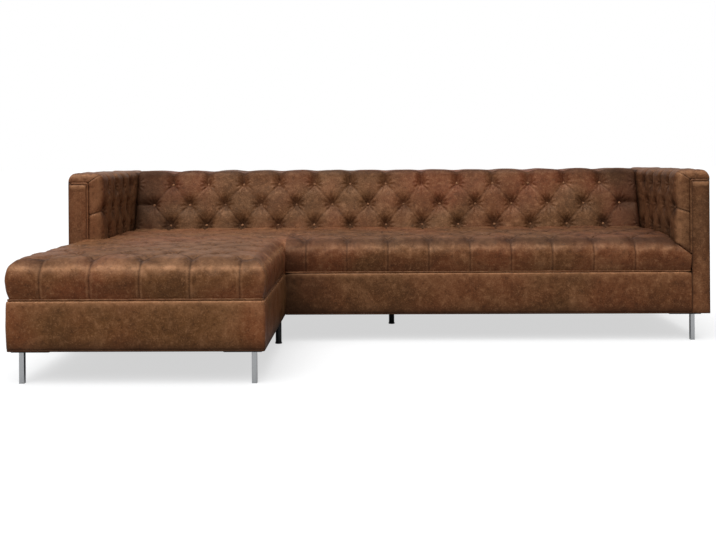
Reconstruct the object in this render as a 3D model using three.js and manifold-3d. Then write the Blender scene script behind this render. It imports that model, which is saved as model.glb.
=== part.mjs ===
// A long sectional sofa with a chaise on its left, in buttoned leather on a hardwood frame.
// Millimetres, +X to the sitter's left hand (the viewer's right), +Y to the back, +Z up.
// The origin is on the floor, under the middle of the room that the sofa takes.
import * as THREE from 'three';
import { mergeVertices } from 'three/addons/utils/BufferGeometryUtils.js';
import Module from 'manifold-3d';

const wasm = await Module();
wasm.setup();

// Room taken by the whole sofa
const insideWidth = 2710;
const armThickness = 155;
const benchDepth = 850;
const chaiseReach = 800;
const chaiseWidth = 1002;
const chaiseInset = 24;
const topHeight = 805;
const legHeight = 130;
const baseHeight = 200;
const seatHeight = 500;

// Tufting: columns across the back, rows and depths of the sunk points
const backColumns = 14;
const backRows = 3;
const backTuftDepth = 26;
const backRakeDegrees = 18;
const backDepthAtSeat = 281;
const lowestRowOverSeat = 18;
const topRowUnderEdge = 71;
const seatRows = 5;
const chaiseRows = 12;
const seatFirstRow = 65;
const seatLastRowBeforeBack = 44;
const seatTuftDepth = 20;
const armColumnPitch = 130;
const armColumns = 4;
const armFirstButton = 70;
const armTuftDepth = 20;
const foldDepth = 6;
const tuftMargin = 60;
const pleatShare = 0.45;
const foldShare = 0.5;
const foldSharpness = 5;

// Upholstery: leather over padding on the faces of the frame
const coverDepth = 14;
const bandThickness = 9;
const panelWidth = 88;
const outsideCover = 8;
const topPad = 48;
const backPadThickness = 75;
const backPadUnder = 450;
const armPadInnerUnder = 460;
const armPadOuterUnder = 406;
const edgeRoll = 58;
const closeRoll = 16;
const cornerRound = 30;
const crownFall = 16;
const crownReach = 300;
const frontDip = 4;
const sideTuck = 15;
const bulgeHeight = 70;
const lowFaceShare = 0.8;
const topRoll = 38;
const outerRoll = 26;
const padFrontInset = 2.5;
const padFrontRound = 16;
const weltRadius = 4.2;
const weltInset = 7;
const pipingRadius = 3.6;
const pipingInset = 1.5;
const coverRound = 6;

// Frame of boards, webbing, foam and the cloth under the boxes
const railThickness = 25;
const boardThickness = 25;
const postWidth = 45;
const backPostWidth = 32;
const crossBoardWidth = 90;
const strapWidth = 70;
const strapThickness = 2;
const chaiseStraps = [5, 8];
const benchStraps = [10, 4];
const foamHeight = 90;
const foamMargin = 60;
const dustClothThickness = 1.2;

// Legs
const legWidth = 20;
const legCorner = 2;
const legInset = 33;
const plateLength = 150;
const plateWidth = 90;
const plateThickness = 4;
const plateCorner = 6;
const supportRadius = 14;
const supportFlange = 26;
const supportFoot = 16;
const supportFootHeight = 6;
const benchSupportX = 24;
const benchSupportSetback = 480;

// Room left where pieces touch, how far cutting shapes run past, and how finely round ones are drawn
const seatedGap = 0.3;
const overrun = 40;
const weldDistance = 1e-4;
const cordFacets = 8;
const supportFacets = 16;
const cornerFacets = 2;
const endShares = [0, 0.12, 0.5];

// Places that follow from those sizes
const halfWidth = insideWidth / 2 + armThickness;
const armInnerX = insideWidth / 2;
const panelInnerX = halfWidth - panelWidth;
const coverInnerX = halfWidth - outsideCover - seatedGap;
const totalDepth = benchDepth + chaiseReach;
const backY = totalDepth / 2;
const chaiseFrontY = -totalDepth / 2;
const benchFrontY = backY - benchDepth;
const frameBackY = backY - outsideCover - seatedGap;
const frameFrontY = benchFrontY + coverDepth + seatedGap;
const chaiseLeftX = -halfWidth + chaiseInset;
const chaiseRightX = chaiseLeftX + chaiseWidth;
const boxLeftX = chaiseLeftX + coverDepth + seatedGap;
const boxRightX = -boxLeftX;
const joinX = chaiseRightX - coverDepth - seatedGap;
const weltZ = legHeight + baseHeight;
const bandTopZ = weltZ - weltRadius - seatedGap;
const bandBottomZ = legHeight + seatedGap;
const clothBottomZ = legHeight + seatedGap;
const railBottomZ = clothBottomZ + dustClothThickness + seatedGap;
const railTopZ = bandTopZ - strapThickness - seatedGap;
const strapBottomZ = railTopZ + seatedGap;
const deckZ = strapBottomZ + strapThickness + seatedGap;
const frameTopZ = topHeight - topPad - seatedGap;
const halfColumn = insideWidth / backColumns / 2;
const rake = THREE.MathUtils.degToRad(backRakeDegrees);
const lowestBackRowZ = seatHeight + lowestRowOverSeat;
const backRowPitch = (topHeight - topRowUnderEdge - lowestBackRowZ) / (backRows - 1);

// Front plane of the back's puffs at a height
const backFaceY = (z) => backY - backDepthAtSeat + (z - seatHeight) * Math.tan(rake);
const seatRearY = backFaceY(deckZ) + backPadThickness;

const leather = { color: 0x6b4530, roughness: 0.5, metalness: 0 };
const hardwood = { color: 0xc2a070, roughness: 0.75, metalness: 0 };
const foam = { color: 0xe8ddb0, roughness: 0.95, metalness: 0 };
const webbing = { color: 0x2c2a28, roughness: 0.9, metalness: 0 };
const dustCloth = { color: 0x1b1b1c, roughness: 0.95, metalness: 0 };
const chrome = { color: 0xd6d8da, roughness: 0.12, metalness: 1 };
const blackPlastic = { color: 0x141415, roughness: 0.5, metalness: 0 };

const sofa = new THREE.Group();
sofa.name = 'sectional_sofa_with_chaise';

function addPiece(name, geometry, look) {
  const mesh = new THREE.Mesh(geometry, new THREE.MeshStandardMaterial(look));
  mesh.name = name;
  sofa.add(mesh);
}

// Solids in and out of the joining and cutting library
function solidOf(geometry) {
  const bare = geometry.clone();
  bare.deleteAttribute('normal');
  bare.deleteAttribute('uv');
  const merged = mergeVertices(bare, weldDistance);
  const vertProperties = new Float32Array(merged.attributes.position.array);
  const triVerts = new Uint32Array(merged.index.array);
  return new wasm.Manifold(new wasm.Mesh({ numProp: 3, vertProperties, triVerts }));
}

function geometryOf(solid) {
  const mesh = solid.getMesh();
  const geometry = new THREE.BufferGeometry();
  geometry.setAttribute('position', new THREE.BufferAttribute(mesh.vertProperties, 3));
  geometry.setIndex(new THREE.BufferAttribute(mesh.triVerts, 1));
  geometry.computeVertexNormals();
  return geometry;
}

const cut = (geometry, ...tools) =>
  geometryOf(tools.reduce((solid, tool) => solid.subtract(solidOf(tool)), solidOf(geometry)));

// Twice the area of a ring of points, along the way that the ring faces
function ringNormal(ring) {
  const [origin] = ring;
  return ring.reduce((sum, point, i) => sum.add(new THREE.Vector3().crossVectors(
    point.clone().sub(origin),
    ring[(i + 1) % ring.length].clone().sub(origin),
  )), new THREE.Vector3());
}

// Triangles that close a flat ring, facing the same way as the ring
function endTriangles(ring) {
  const normal = ringNormal(ring);
  const widest = Math.max(Math.abs(normal.x), Math.abs(normal.y), Math.abs(normal.z));
  const flatten = (point) => {
    if (Math.abs(normal.x) === widest) return new THREE.Vector2(point.y, point.z);
    if (Math.abs(normal.y) === widest) return new THREE.Vector2(point.x, point.z);
    return new THREE.Vector2(point.x, point.y);
  };
  const triangles = THREE.ShapeUtils.triangulateShape(ring.map(flatten), []);
  const facing = triangles.reduce((sum, face) => sum.add(ringNormal(face.map((i) => ring[i]))),
    new THREE.Vector3());
  return facing.dot(normal) > 0 ? triangles : triangles.map(([a, b, c]) => [a, c, b]);
}

// Whether a patch creases along its first diagonal, the one that lies deeper in the piece
function creasesFirst([a, b, c, d], turned) {
  const outward = new THREE.Vector3().crossVectors(c.clone().sub(a), d.clone().sub(b));
  const rise = a.clone().add(c).sub(b).sub(d).dot(outward);
  return turned ? rise >= 0 : rise <= 0;
}

// One closed body through a row of rings with the same number of points, flat at both ends
function loft(rings) {
  const count = rings[0].length;
  const last = (rings.length - 1) * count;
  const points = rings.flat();
  const ahead = rings[1][0].clone().sub(rings[0][0]);
  const turned = ringNormal(rings[0]).dot(ahead) < 0;
  const faces = [];
  const addFace = ([a, b, c], flip) => faces.push(...(flip ? [a, c, b] : [a, b, c]));
  for (let r = 0; r + 1 < rings.length; r++) {
    for (let i = 0; i < count; i++) {
      const a = r * count + i;
      const b = r * count + (i + 1) % count;
      const patch = [a, b, b + count, a + count];
      const [p, q, t, u] = creasesFirst(patch.map((k) => points[k]), turned)
        ? patch : [...patch.slice(1), a];
      addFace([p, q, t], turned);
      addFace([p, t, u], turned);
    }
  }
  endTriangles(rings[0]).forEach((face) => addFace(face, !turned));
  endTriangles(rings[rings.length - 1]).forEach((face) => addFace(face.map((i) => i + last), turned));
  const geometry = new THREE.BufferGeometry().setFromPoints(points);
  geometry.setIndex(faces);
  geometry.computeVertexNormals();
  return geometry;
}

// A board or block between two corners
function block([x0, y0, z0], [x1, y1, z1]) {
  const geometry = new THREE.BoxGeometry(x1 - x0, y1 - y0, z1 - z0);
  geometry.translate((x0 + x1) / 2, (y0 + y1) / 2, (z0 + z1) / 2);
  return geometry;
}

// A flat outline carried along an axis; place turns (u, v, run) into a point
function prism(outline, from, to, place) {
  return loft([from, to].map((run) => outline.map(([u, v]) => place(u, v, run))));
}
const alongX = (y, z, x) => new THREE.Vector3(x, y, z);
const alongY = (x, z, y) => new THREE.Vector3(x, y, z);

// A rectangle whose outer corners are rounded off, for sewn covers
function coverOutline(width, height, round) {
  const arc = (x, y, start) => [0, 1, 2].map((step) => {
    const angle = start + step * Math.PI / 4;
    return [x + round * Math.cos(angle), y + round * Math.sin(angle)];
  });
  return [
    [0, 0],
    ...arc(width - round, round, -Math.PI / 2),
    ...arc(width - round, height - round, 0),
    [0, height],
  ];
}

// A round cord sewn along a flat path, square at its ends; normal stands on the path's plane
function cord(path, radius, normal) {
  return loft(path.map((point, i) => {
    const before = path[Math.max(i - 1, 0)];
    const after = path[Math.min(i + 1, path.length - 1)];
    const into = point.clone().sub(before).normalize();
    const out = after.clone().sub(point).normalize();
    const ahead = into.clone().add(out).normalize();
    const across = new THREE.Vector3().crossVectors(normal, ahead);
    const stretch = 1 / Math.max(ahead.dot(into), ahead.dot(out));
    return Array.from({ length: cordFacets }, (_, k) => {
      const angle = (k + 1 / 2) * 2 * Math.PI / cordFacets;
      return point.clone()
        .addScaledVector(across, radius * Math.cos(angle) * stretch)
        .addScaledVector(normal, radius * Math.sin(angle));
    });
  }));
}
const upward = new THREE.Vector3(0, 0, 1);
const backward = new THREE.Vector3(0, 1, 0);

// How far a rounded edge falls at a distance in from the edge
const edgeFall = (inward, radius) =>
  inward < radius ? radius - Math.sqrt(radius ** 2 - (radius - Math.max(inward, 0)) ** 2) : 0;

// Diamond tufting, counted in half columns and rows, with a tuft wherever their sum is even:
// 0 at a tuft, 1 on the crown of a diamond, and part way up along the folds between tufts
function diamondLift(across, along) {
  const p = Math.PI * (across + along) / 2;
  const q = Math.PI * (across - along) / 2;
  const crown = Math.sqrt(Math.abs(Math.sin(p) * Math.sin(q)));
  const knot = (Math.cos(p) * Math.cos(q)) ** 2;
  return 1 - pleatShare * (1 - crown) - (1 - pleatShare) * knot;
}

// Straight folds that run out to an edge, on every second half column
const foldLift = (across) => 1 - foldShare * Math.abs(Math.cos(Math.PI * across / 2)) ** foldSharpness;

function tuftLift(across, along, field) {
  const column = THREE.MathUtils.clamp(across, field.firstColumn, field.lastColumn);
  const row = THREE.MathUtils.clamp(along, 0, field.rows - 1);
  const pastSide = Math.min(1, Math.abs(across - column));
  const pastEnd = Math.min(1, Math.abs(along - row));
  const inside = diamondLift(column, row);
  const side = foldLift(row - column);
  const end = foldLift(column - row);
  return inside + pastSide * (side - inside) + pastEnd * (1 - pastSide) * (end - inside);
}

const firstColumnIn = (edge) => Math.ceil((edge + tuftMargin) / halfColumn);
const lastColumnIn = (edge) => Math.floor((edge - tuftMargin) / halfColumn);

// Stations across a padded piece: close together at a rounded end, then at every quarter column
function stations(from, to, fromRoll, toRoll, pitch) {
  const places = [
    ...endShares.map((share) => from + share * fromRoll),
    ...endShares.map((share) => to - share * toRoll),
  ];
  const clear = pitch / 4;
  for (let i = Math.ceil((from + fromRoll) / pitch); i * pitch <= to - toRoll; i++) places.push(i * pitch);
  const near = (value, list) => list.some((other) => Math.abs(other - value) < clear);
  const inner = places.slice(2 * endShares.length);
  places.push(...[from + fromRoll, to - toRoll].filter((place) => !near(place, inner)));
  return [...new Set(places)].sort((a, b) => a - b);
}

// A box of rails on edge with flat cross boards low down, and the dust cloth under it
function addBox(name, left, right, front, crossBoards) {
  const frontInner = front + railThickness + seatedGap;
  const rearInner = frameBackY - railThickness - seatedGap;
  const inside = {
    left: left + railThickness + seatedGap,
    right: right - railThickness - seatedGap,
    front: frontInner,
    rear: rearInner,
  };
  const rail = (x0, y0, x1, y1) => block([x0, y0, railBottomZ], [x1, y1, railTopZ]);
  addPiece(`${name}_front_rail`, rail(left, front, right, front + railThickness), hardwood);
  addPiece(`${name}_rear_rail`, rail(left, frameBackY - railThickness, right, frameBackY), hardwood);
  addPiece(`${name}_left_rail`, rail(left, frontInner, left + railThickness, rearInner), hardwood);
  addPiece(`${name}_right_rail`, rail(right - railThickness, frontInner, right, rearInner), hardwood);
  Object.entries(crossBoards(inside)).forEach(([place, [x0, y0, x1, y1]]) =>
    addPiece(`${name}_${place}_cross_board`,
      block([x0, y0, railBottomZ], [x1, y1, railBottomZ + boardThickness]), hardwood));
  addPiece(`${name}_dust_cloth`, block(
    [left, front, clothBottomZ],
    [right, frameBackY, clothBottomZ + dustClothThickness],
  ), dustCloth);
}

// Woven straps from rail to rail, joined where they cross
function strapNet(left, right, front, rear, [countX, countY]) {
  const strapTopZ = strapBottomZ + strapThickness;
  const strap = (x0, y0, x1, y1) => solidOf(block([x0, y0, strapBottomZ], [x1, y1, strapTopZ]));
  const spread = (count, from, to) => Array.from({ length: count }, (_, i) =>
    from + strapWidth / 2 + (to - from - strapWidth) * i / (count - 1));
  const straps = [
    ...spread(countX, left + railThickness, right - railThickness)
      .map((x) => strap(x - strapWidth / 2, front, x + strapWidth / 2, rear)),
    ...spread(countY, front + railThickness, rear - railThickness)
      .map((y) => strap(left, y - strapWidth / 2, right, y + strapWidth / 2)),
  ];
  return geometryOf(straps.reduce((net, piece) => net.add(piece)));
}

// The space that the back and the arms take from the seat cushions, with the gap where they touch
function backCutter() {
  const under = backPadUnder - seatedGap;
  const front = backFaceY(under) - seatedGap;
  const high = topHeight + overrun;
  return prism([
    [front, under],
    [backY, under],
    [backY, high],
    [front + (high - under) * Math.tan(rake), high],
  ], -armInnerX, armInnerX, alongX);
}

function armCutter(side, front) {
  const low = deckZ - overrun;
  const high = topHeight + overrun;
  const outer = halfWidth + overrun;
  return prism([
    [armInnerX - seatedGap, armPadInnerUnder - seatedGap],
    [armInnerX - seatedGap, high],
    [outer, high],
    [outer, low],
    [panelInnerX - seatedGap, low],
    [panelInnerX - seatedGap, armPadOuterUnder - seatedGap],
  ].map(([x, z]) => [side * x, z]), front, backY + overrun, alongY);
}

// A tufted seat cushion: crowned top, rolled edges, folds over the front, sides drawn in to the welt
function seatCushion({ left, right, front, rows, leftRoll, rightRoll }) {
  const firstRowY = front + seatFirstRow;
  const lastRowY = backFaceY(seatHeight) - seatLastRowBeforeBack;
  const rowPitch = (lastRowY - firstRowY) / (rows - 1);
  const field = { firstColumn: firstColumnIn(left), lastColumn: lastColumnIn(right), rows };
  const bulgeZ = deckZ + bulgeHeight;
  const tuck = (z) => sideTuck * (Math.max(bulgeZ - z, 0) / bulgeHeight) ** 2;
  const topZ = (x, y) => {
    const edge = Math.min(x - left, right - x, y - front);
    const fall = crownFall * Math.max(1 - edge / crownReach, 0) ** 2;
    return seatHeight - fall;
  };
  const sides = (y) => [[left, 1, leftRoll(y)], [right, -1, rightRoll(y)]];
  const rings = stations(left, right, edgeRoll, edgeRoll, halfColumn / 2).map((x) => {
    const across = x / halfColumn;
    const fallAt = (y) => sides(y).reduce((sum, [edge, way, roll]) =>
      sum + edgeFall((x - edge) * way, roll), 0);
    const plan = edgeFall(Math.min(x - left, right - x), cornerRound);
    const fold = foldDepth * (1 - foldLift(across - field.firstColumn % 2)) / foldShare;
    const place = (y, z) => {
      const shift = sides(y).reduce((sum, [edge, way]) =>
        sum + way * tuck(z) * Math.max(1 - (x - edge) * way / edgeRoll, 0), 0);
      return new THREE.Vector3(x + shift, y, z);
    };
    const ring = [place(seatRearY, deckZ), place(seatRearY, topZ(x, seatRearY) - fallAt(seatRearY))];
    for (let step = 2 * rows - 1; step >= 0; step--) {
      const y = firstRowY + step * rowPitch / 2;
      const sink = seatTuftDepth * (1 - tuftLift(across, step / 2, field));
      if (y < seatRearY) ring.push(place(y, topZ(x, y) - fallAt(y) - sink));
    }
    const rollZ = topZ(x, front + edgeRoll) - fallAt(front) - frontDip - edgeRoll;
    [1, 2, 3].forEach((step) => {
      const angle = step * Math.PI / 6;
      const reach = edgeRoll - fold * Math.sin(angle);
      const y = front + plan + edgeRoll - reach * Math.sin(angle);
      ring.push(place(y, rollZ + (edgeRoll - fold * Math.cos(angle)) * Math.cos(angle)));
    });
    const faceHeight = Math.min(bulgeHeight, (rollZ - deckZ) * lowFaceShare);
    [1, 0.5, 0.12, 0].forEach((share) => {
      const z = deckZ + share * faceHeight;
      ring.push(place(front + plan + tuck(z) + fold * Math.min(share * 2, 1), z));
    });
    return ring;
  });
  return loft(rings);
}

const foamCore = (left, right, front, top = deckZ + foamHeight) =>
  block([left + foamMargin, front + foamMargin, deckZ], [right - foamMargin, seatRearY - foamMargin, top]);

const pocketFor = (left, right, front) => block(
  [left + foamMargin - seatedGap, front + foamMargin - seatedGap, deckZ - overrun],
  [right - foamMargin + seatedGap, seatRearY - foamMargin + seatedGap, deckZ + foamHeight + seatedGap],
);

// The chaise rounds fully where it stands free and less where the bench cushion presses on it
const settle = (y) => THREE.MathUtils.clamp((y - benchFrontY) / edgeRoll, 0, 1);
const meetingRoll = (y) => edgeRoll + (closeRoll - edgeRoll) * settle(y);

function addSeats() {
  const seats = {
    chaise: {
      left: chaiseLeftX, right: chaiseRightX, front: chaiseFrontY, rows: chaiseRows,
      leftRoll: () => edgeRoll, rightRoll: meetingRoll,
    },
    bench: {
      left: chaiseRightX + seatedGap, right: panelInnerX - seatedGap, front: benchFrontY, rows: seatRows,
      leftRoll: () => closeRoll, rightRoll: () => closeRoll,
    },
  };
  const armSpace = {
    chaise: armCutter(-1, benchFrontY - seatedGap),
    bench: armCutter(1, benchFrontY - overrun),
  };
  const foamLimits = {
    chaise: [-panelInnerX, chaiseRightX, chaiseFrontY],
    bench: [chaiseRightX, panelInnerX, benchFrontY],
  };
  Object.entries(seats).forEach(([name, seat]) => {
    const limits = foamLimits[name];
    const seamSpace = cord(pipingPath(name === 'chaise' ? -1 : 1), pipingRadius + seatedGap, backward);
    const cover = cut(seatCushion(seat), backCutter(), armSpace[name], seamSpace, pocketFor(...limits));
    addPiece(`${name}_seat_cushion`, cover, leather);
    addPiece(`${name}_seat_foam`, foamCore(...limits), foam);
  });
}

// The long back cushion: a raked tufted face, folded over the frame's top rail to the outside
function backCushion() {
  const slope = Math.tan(rake);
  const outward = new THREE.Vector2(-Math.cos(rake), Math.sin(rake));
  const field = {
    firstColumn: firstColumnIn(-armInnerX), lastColumn: lastColumnIn(armInnerX), rows: backRows,
  };
  const rollZ = topHeight - topRoll;
  const rollY = backFaceY(rollZ + topRoll * Math.sin(rake)) + topRoll * Math.cos(rake);
  const under = backPadUnder;
  const wrapZ = frameTopZ + seatedGap;
  const rings = stations(-armInnerX + seatedGap, armInnerX - seatedGap, 0, 0, halfColumn / 2).map((x) => {
    const across = x / halfColumn;
    const fold = foldDepth * (1 - foldLift(across)) / foldShare;
    const at = (y, z) => new THREE.Vector3(x, y, z);
    const around = (y, z, radius, angle, sink) =>
      at(y - (radius - sink) * Math.cos(angle), z + (radius - sink) * Math.sin(angle));
    const ring = [
      at(backFaceY(under) + backPadThickness, under),
      at(backFaceY(under) + topRoll / 2, under),
    ];
    for (let step = -1; step <= 2 * (backRows - 1); step++) {
      const z = lowestBackRowZ + step * backRowPitch / 2;
      const sink = backTuftDepth * (1 - tuftLift(across, step / 2, field));
      ring.push(at(backFaceY(z) - outward.x * sink, z - outward.y * sink));
    }
    [rake, (rake + Math.PI / 2) / 2, Math.PI / 2].forEach((angle) =>
      ring.push(around(rollY, rollZ, topRoll, angle, fold)));
    ring.push(at((rollY + backY - outerRoll) / 2, topHeight - fold / 2));
    [1, 2, 3].forEach((step) => {
      const angle = Math.PI / 2 + (step - 1) * Math.PI / 4;
      ring.push(around(backY - outerRoll, topHeight - outerRoll, outerRoll, angle, fold / (2 * step)));
    });
    ring.push(at(backY, wrapZ));
    ring.push(at(backFaceY(under) + backPadThickness + (wrapZ - under) * slope, wrapZ));
    return ring;
  });
  return loft(rings);
}

// The cord sewn in round an arm's front panel, up its inner edge and out along its top
function pipingPath(side) {
  const top = frameTopZ + seatedGap;
  const turn = 2 * pipingRadius;
  return [
    [panelInnerX, armPadOuterUnder + turn],
    [panelInnerX, top - turn],
    [panelInnerX + turn / 4, top - turn / 4],
    [panelInnerX + turn, top],
    [halfWidth - turn, top],
  ].map(([x, z]) => new THREE.Vector3(side * x, benchFrontY + pipingInset, z));
}

// A tufted arm pad: inner face, top and outer wrap; side is 1 on the right and -1 on the left
function armPad(side) {
  const from = benchFrontY + padFrontInset;
  const rollZ = topHeight - topRoll;
  const wrapZ = frameTopZ + seatedGap;
  const halfPitch = armColumnPitch / 2;
  const field = { firstColumn: 1, lastColumn: 2 * armColumns, rows: backRows };
  const firstButtonY = benchFrontY + armFirstButton;
  const shares = [...endShares, 1];
  const places = [
    ...shares.map((share) => from + share * padFrontRound),
    ...Array.from({ length: 4 * armColumns + 1 }, (_, i) => firstButtonY + (i - 1) * halfPitch / 2),
    ...shares.map((share) => backY - share * outerRoll).reverse(),
  ];
  const rings = places.map((y) => {
    const across = (y - firstButtonY) / halfPitch + 1;
    const end = edgeFall(y - from, padFrontRound) + edgeFall(backY - y, outerRoll);
    const tufted = THREE.MathUtils.clamp(Math.min(across, field.lastColumn + 1 - across), 0, 1);
    const fold = tufted * foldDepth * (1 - foldLift(across)) / foldShare;
    const at = (x, z) => new THREE.Vector3(side * x, y, z);
    const around = (x, z, radius, angle, sink) =>
      at(x - (radius - sink) * Math.cos(angle), z + (radius - sink) * Math.sin(angle));
    const ring = [
      at(panelInnerX - seatedGap, armPadOuterUnder),
      at(armInnerX + sideTuck / 2 + end, armPadInnerUnder),
    ];
    for (let step = 0; step <= 2 * (backRows - 1); step++) {
      const z = lowestBackRowZ + step * backRowPitch / 2;
      const sink = tufted * armTuftDepth * (1 - tuftLift(across, step / 2, field));
      ring.push(at(armInnerX + end + sink, z));
    }
    [0, Math.PI / 4, Math.PI / 2].forEach((angle) =>
      ring.push(around(armInnerX + topRoll, rollZ, topRoll, angle, fold + end)));
    ring.push(at((armInnerX + halfWidth) / 2, topHeight - fold / 2 - end));
    [Math.PI / 2, 3 * Math.PI / 4, Math.PI].forEach((angle) =>
      ring.push(around(halfWidth - outerRoll, topHeight - outerRoll, outerRoll, angle, end)));
    ring.push(at(halfWidth - end, wrapZ));
    ring.push(at(panelInnerX - seatedGap, wrapZ));
    return ring;
  });
  return loft(rings);
}

// An arm: board frame bolted beside its box, tufted pad, front panel, piping and outside cover
function addArm(name, side) {
  const sided = (a, b) => (side > 0 ? [a, b] : [-b, -a]);
  const boardOf = (x0, x1, y0, y1, z0, z1) => {
    const [left, right] = sided(x0, x1);
    return block([left, y0, z0], [right, y1, z1]);
  };
  const boardX = boxRightX + seatedGap;
  const topBoardZ = frameTopZ - boardThickness;
  const postTopZ = topBoardZ - seatedGap;
  const postZ = deckZ;
  addPiece(`${name}_arm_side_board`,
    boardOf(boardX, coverInnerX, frameFrontY, frameBackY, railBottomZ, frameTopZ), hardwood);
  addPiece(`${name}_arm_top_board`,
    boardOf(panelInnerX, boxRightX, frameFrontY, frameBackY, topBoardZ, frameTopZ), hardwood);
  addPiece(`${name}_arm_front_post`,
    boardOf(panelInnerX, boxRightX, frameFrontY, frameFrontY + postWidth, postZ, postTopZ), hardwood);
  addPiece(`${name}_arm_rear_post`,
    boardOf(panelInnerX, boxRightX, frameBackY - postWidth, frameBackY, postZ, postTopZ), hardwood);

  const seam = cord(pipingPath(side), pipingRadius, backward);
  const seamSpace = cord(pipingPath(side), pipingRadius + seatedGap, backward);
  const backSpace = prism([
    [backFaceY(deckZ) + backPadThickness - seatedGap, deckZ],
    [backFaceY(frameTopZ) + backPadThickness - seatedGap, frameTopZ + seatedGap],
    [backY + overrun, frameTopZ + seatedGap],
    [backY + overrun, deckZ],
  ], ...sided(armInnerX - overrun, panelInnerX), alongX);
  addPiece(`${name}_arm_pad`, cut(armPad(side), seamSpace, backSpace), leather);
  addPiece(`${name}_arm_piping`, seam, leather);

  const foot = (inset) => [
    [halfWidth - inset, bandBottomZ + inset],
    [panelInnerX + inset, bandBottomZ + inset],
  ];
  const footBesideBox = (inset) => [
    [halfWidth - inset, bandBottomZ + inset],
    [boxRightX + seatedGap + inset, bandBottomZ + inset],
    [boxRightX + seatedGap + inset, deckZ],
    [panelInnerX + inset, deckZ],
  ];
  const panelRing = (y, inset) => [
    ...(side > 0 ? foot(inset) : footBesideBox(inset)),
    [panelInnerX + inset, frameTopZ - inset],
    [halfWidth - inset, frameTopZ - inset],
  ].map(([x, z]) => new THREE.Vector3(side * x, y, z));
  const panel = loft([
    panelRing(benchFrontY, coverRound / 2),
    panelRing(benchFrontY + coverRound / 2, 0),
    panelRing(benchFrontY + coverDepth, 0),
  ]);
  addPiece(`${name}_arm_front_panel`, cut(panel, seamSpace), leather);
  const [coverLeft, coverRight] = sided(coverInnerX + seatedGap, halfWidth);
  addPiece(`${name}_arm_outside_cover`, block(
    [coverLeft, frameFrontY, bandBottomZ],
    [coverRight, frameBackY, frameTopZ],
  ), leather);
}

// The back: a rail along the boxes, posts, a top rail, the tufted cushion and the outside cover
function addBack() {
  const reach = panelInnerX - seatedGap;
  const footZ = railTopZ + seatedGap;
  const postZ = footZ + boardThickness + seatedGap;
  const topRailZ = frameTopZ - boardThickness;
  const railFront = (z) => backFaceY(z) + backPadThickness + seatedGap;
  addPiece('back_foot_rail', block(
    [-reach, seatRearY + seatedGap, footZ],
    [reach, frameBackY, footZ + boardThickness],
  ), hardwood);
  addPiece('back_top_rail', prism([
    [railFront(topRailZ), topRailZ],
    [frameBackY, topRailZ],
    [frameBackY, frameTopZ],
    [railFront(frameTopZ), frameTopZ],
  ], -reach, reach, alongX), hardwood);
  const postOutline = [
    [railFront(postZ), postZ],
    [frameBackY, postZ],
    [frameBackY, topRailZ - seatedGap],
    [railFront(topRailZ), topRailZ - seatedGap],
  ];
  const places = { far_left: -1, left: -1 / 3, right: 1 / 3, far_right: 1 };
  Object.entries(places).forEach(([place, share]) => {
    const x = share * (reach - backPostWidth / 2);
    addPiece(`back_${place}_post`,
      prism(postOutline, x - backPostWidth / 2, x + backPostWidth / 2, alongX), hardwood);
  });
  addPiece('back_cushion', backCushion(), leather);
  addPiece('back_outside_cover', block(
    [-halfWidth, frameBackY + seatedGap, bandBottomZ],
    [halfWidth, backY, frameTopZ],
  ), leather);
}

// Padded leather bands round the boxes, rounded at their outer edges
function addBands() {
  const outline = coverOutline(bandThickness, bandTopZ - bandBottomZ, coverRound);
  const outer = coverDepth - bandThickness;
  const frontOf = (y) => (u, v, x) => new THREE.Vector3(x, y + coverDepth - u, bandBottomZ + v);
  const sideEnd = benchFrontY + coverDepth;
  addPiece('chaise_front_band', prism(outline,
    chaiseLeftX + outer, chaiseRightX - outer, frontOf(chaiseFrontY)), leather);
  addPiece('chaise_left_band', prism(outline,
    chaiseFrontY + coverDepth + seatedGap, benchFrontY - seatedGap,
    (u, v, y) => new THREE.Vector3(chaiseLeftX + coverDepth - u, y, bandBottomZ + v)), leather);
  addPiece('chaise_right_band', prism(outline,
    chaiseFrontY + coverDepth + seatedGap, sideEnd,
    (u, v, y) => new THREE.Vector3(chaiseRightX - coverDepth + u, y, bandBottomZ + v)), leather);
  addPiece('bench_band', prism(outline,
    chaiseRightX - outer + seatedGap, panelInnerX - seatedGap, frontOf(benchFrontY)), leather);
}

// The thin welts between the bands and the seat cushions
function addWelts() {
  const x0 = chaiseLeftX + weltInset;
  const x1 = chaiseRightX - weltInset;
  const y0 = chaiseFrontY + weltInset;
  const y1 = benchFrontY + weltInset;
  const turn = 2 * weltRadius;
  const soft = turn / 4;
  const lay = ([x, y]) => new THREE.Vector3(x, y, weltZ);
  const chaisePath = [
    [x0, benchFrontY - seatedGap], [x0, y0 + turn], [x0 + soft, y0 + soft], [x0 + turn, y0],
    [x1 - turn, y0], [x1 - soft, y0 + soft], [x1, y0 + turn], [x1, y1 + weltRadius],
  ];
  const benchPath = [[x1 + weltRadius + seatedGap, y1], [panelInnerX - seatedGap, y1]];
  addPiece('chaise_welt', cord(chaisePath.map(lay), weltRadius, upward), leather);
  addPiece('bench_welt', cord(benchPath.map(lay), weltRadius, upward), leather);
}

// A polished square leg welded to its mounting plate; ways say where the plate runs from the corner
function squareOutline(x0, x1, y0, y1, round) {
  const shape = new THREE.Shape();
  shape.moveTo(x0 + round, y0);
  shape.absarc(x1 - round, y0 + round, round, -Math.PI / 2, 0);
  shape.absarc(x1 - round, y1 - round, round, 0, Math.PI / 2);
  shape.absarc(x0 + round, y1 - round, round, Math.PI / 2, Math.PI);
  shape.absarc(x0 + round, y0 + round, round, Math.PI, 3 * Math.PI / 2);
  return shape;
}

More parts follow.
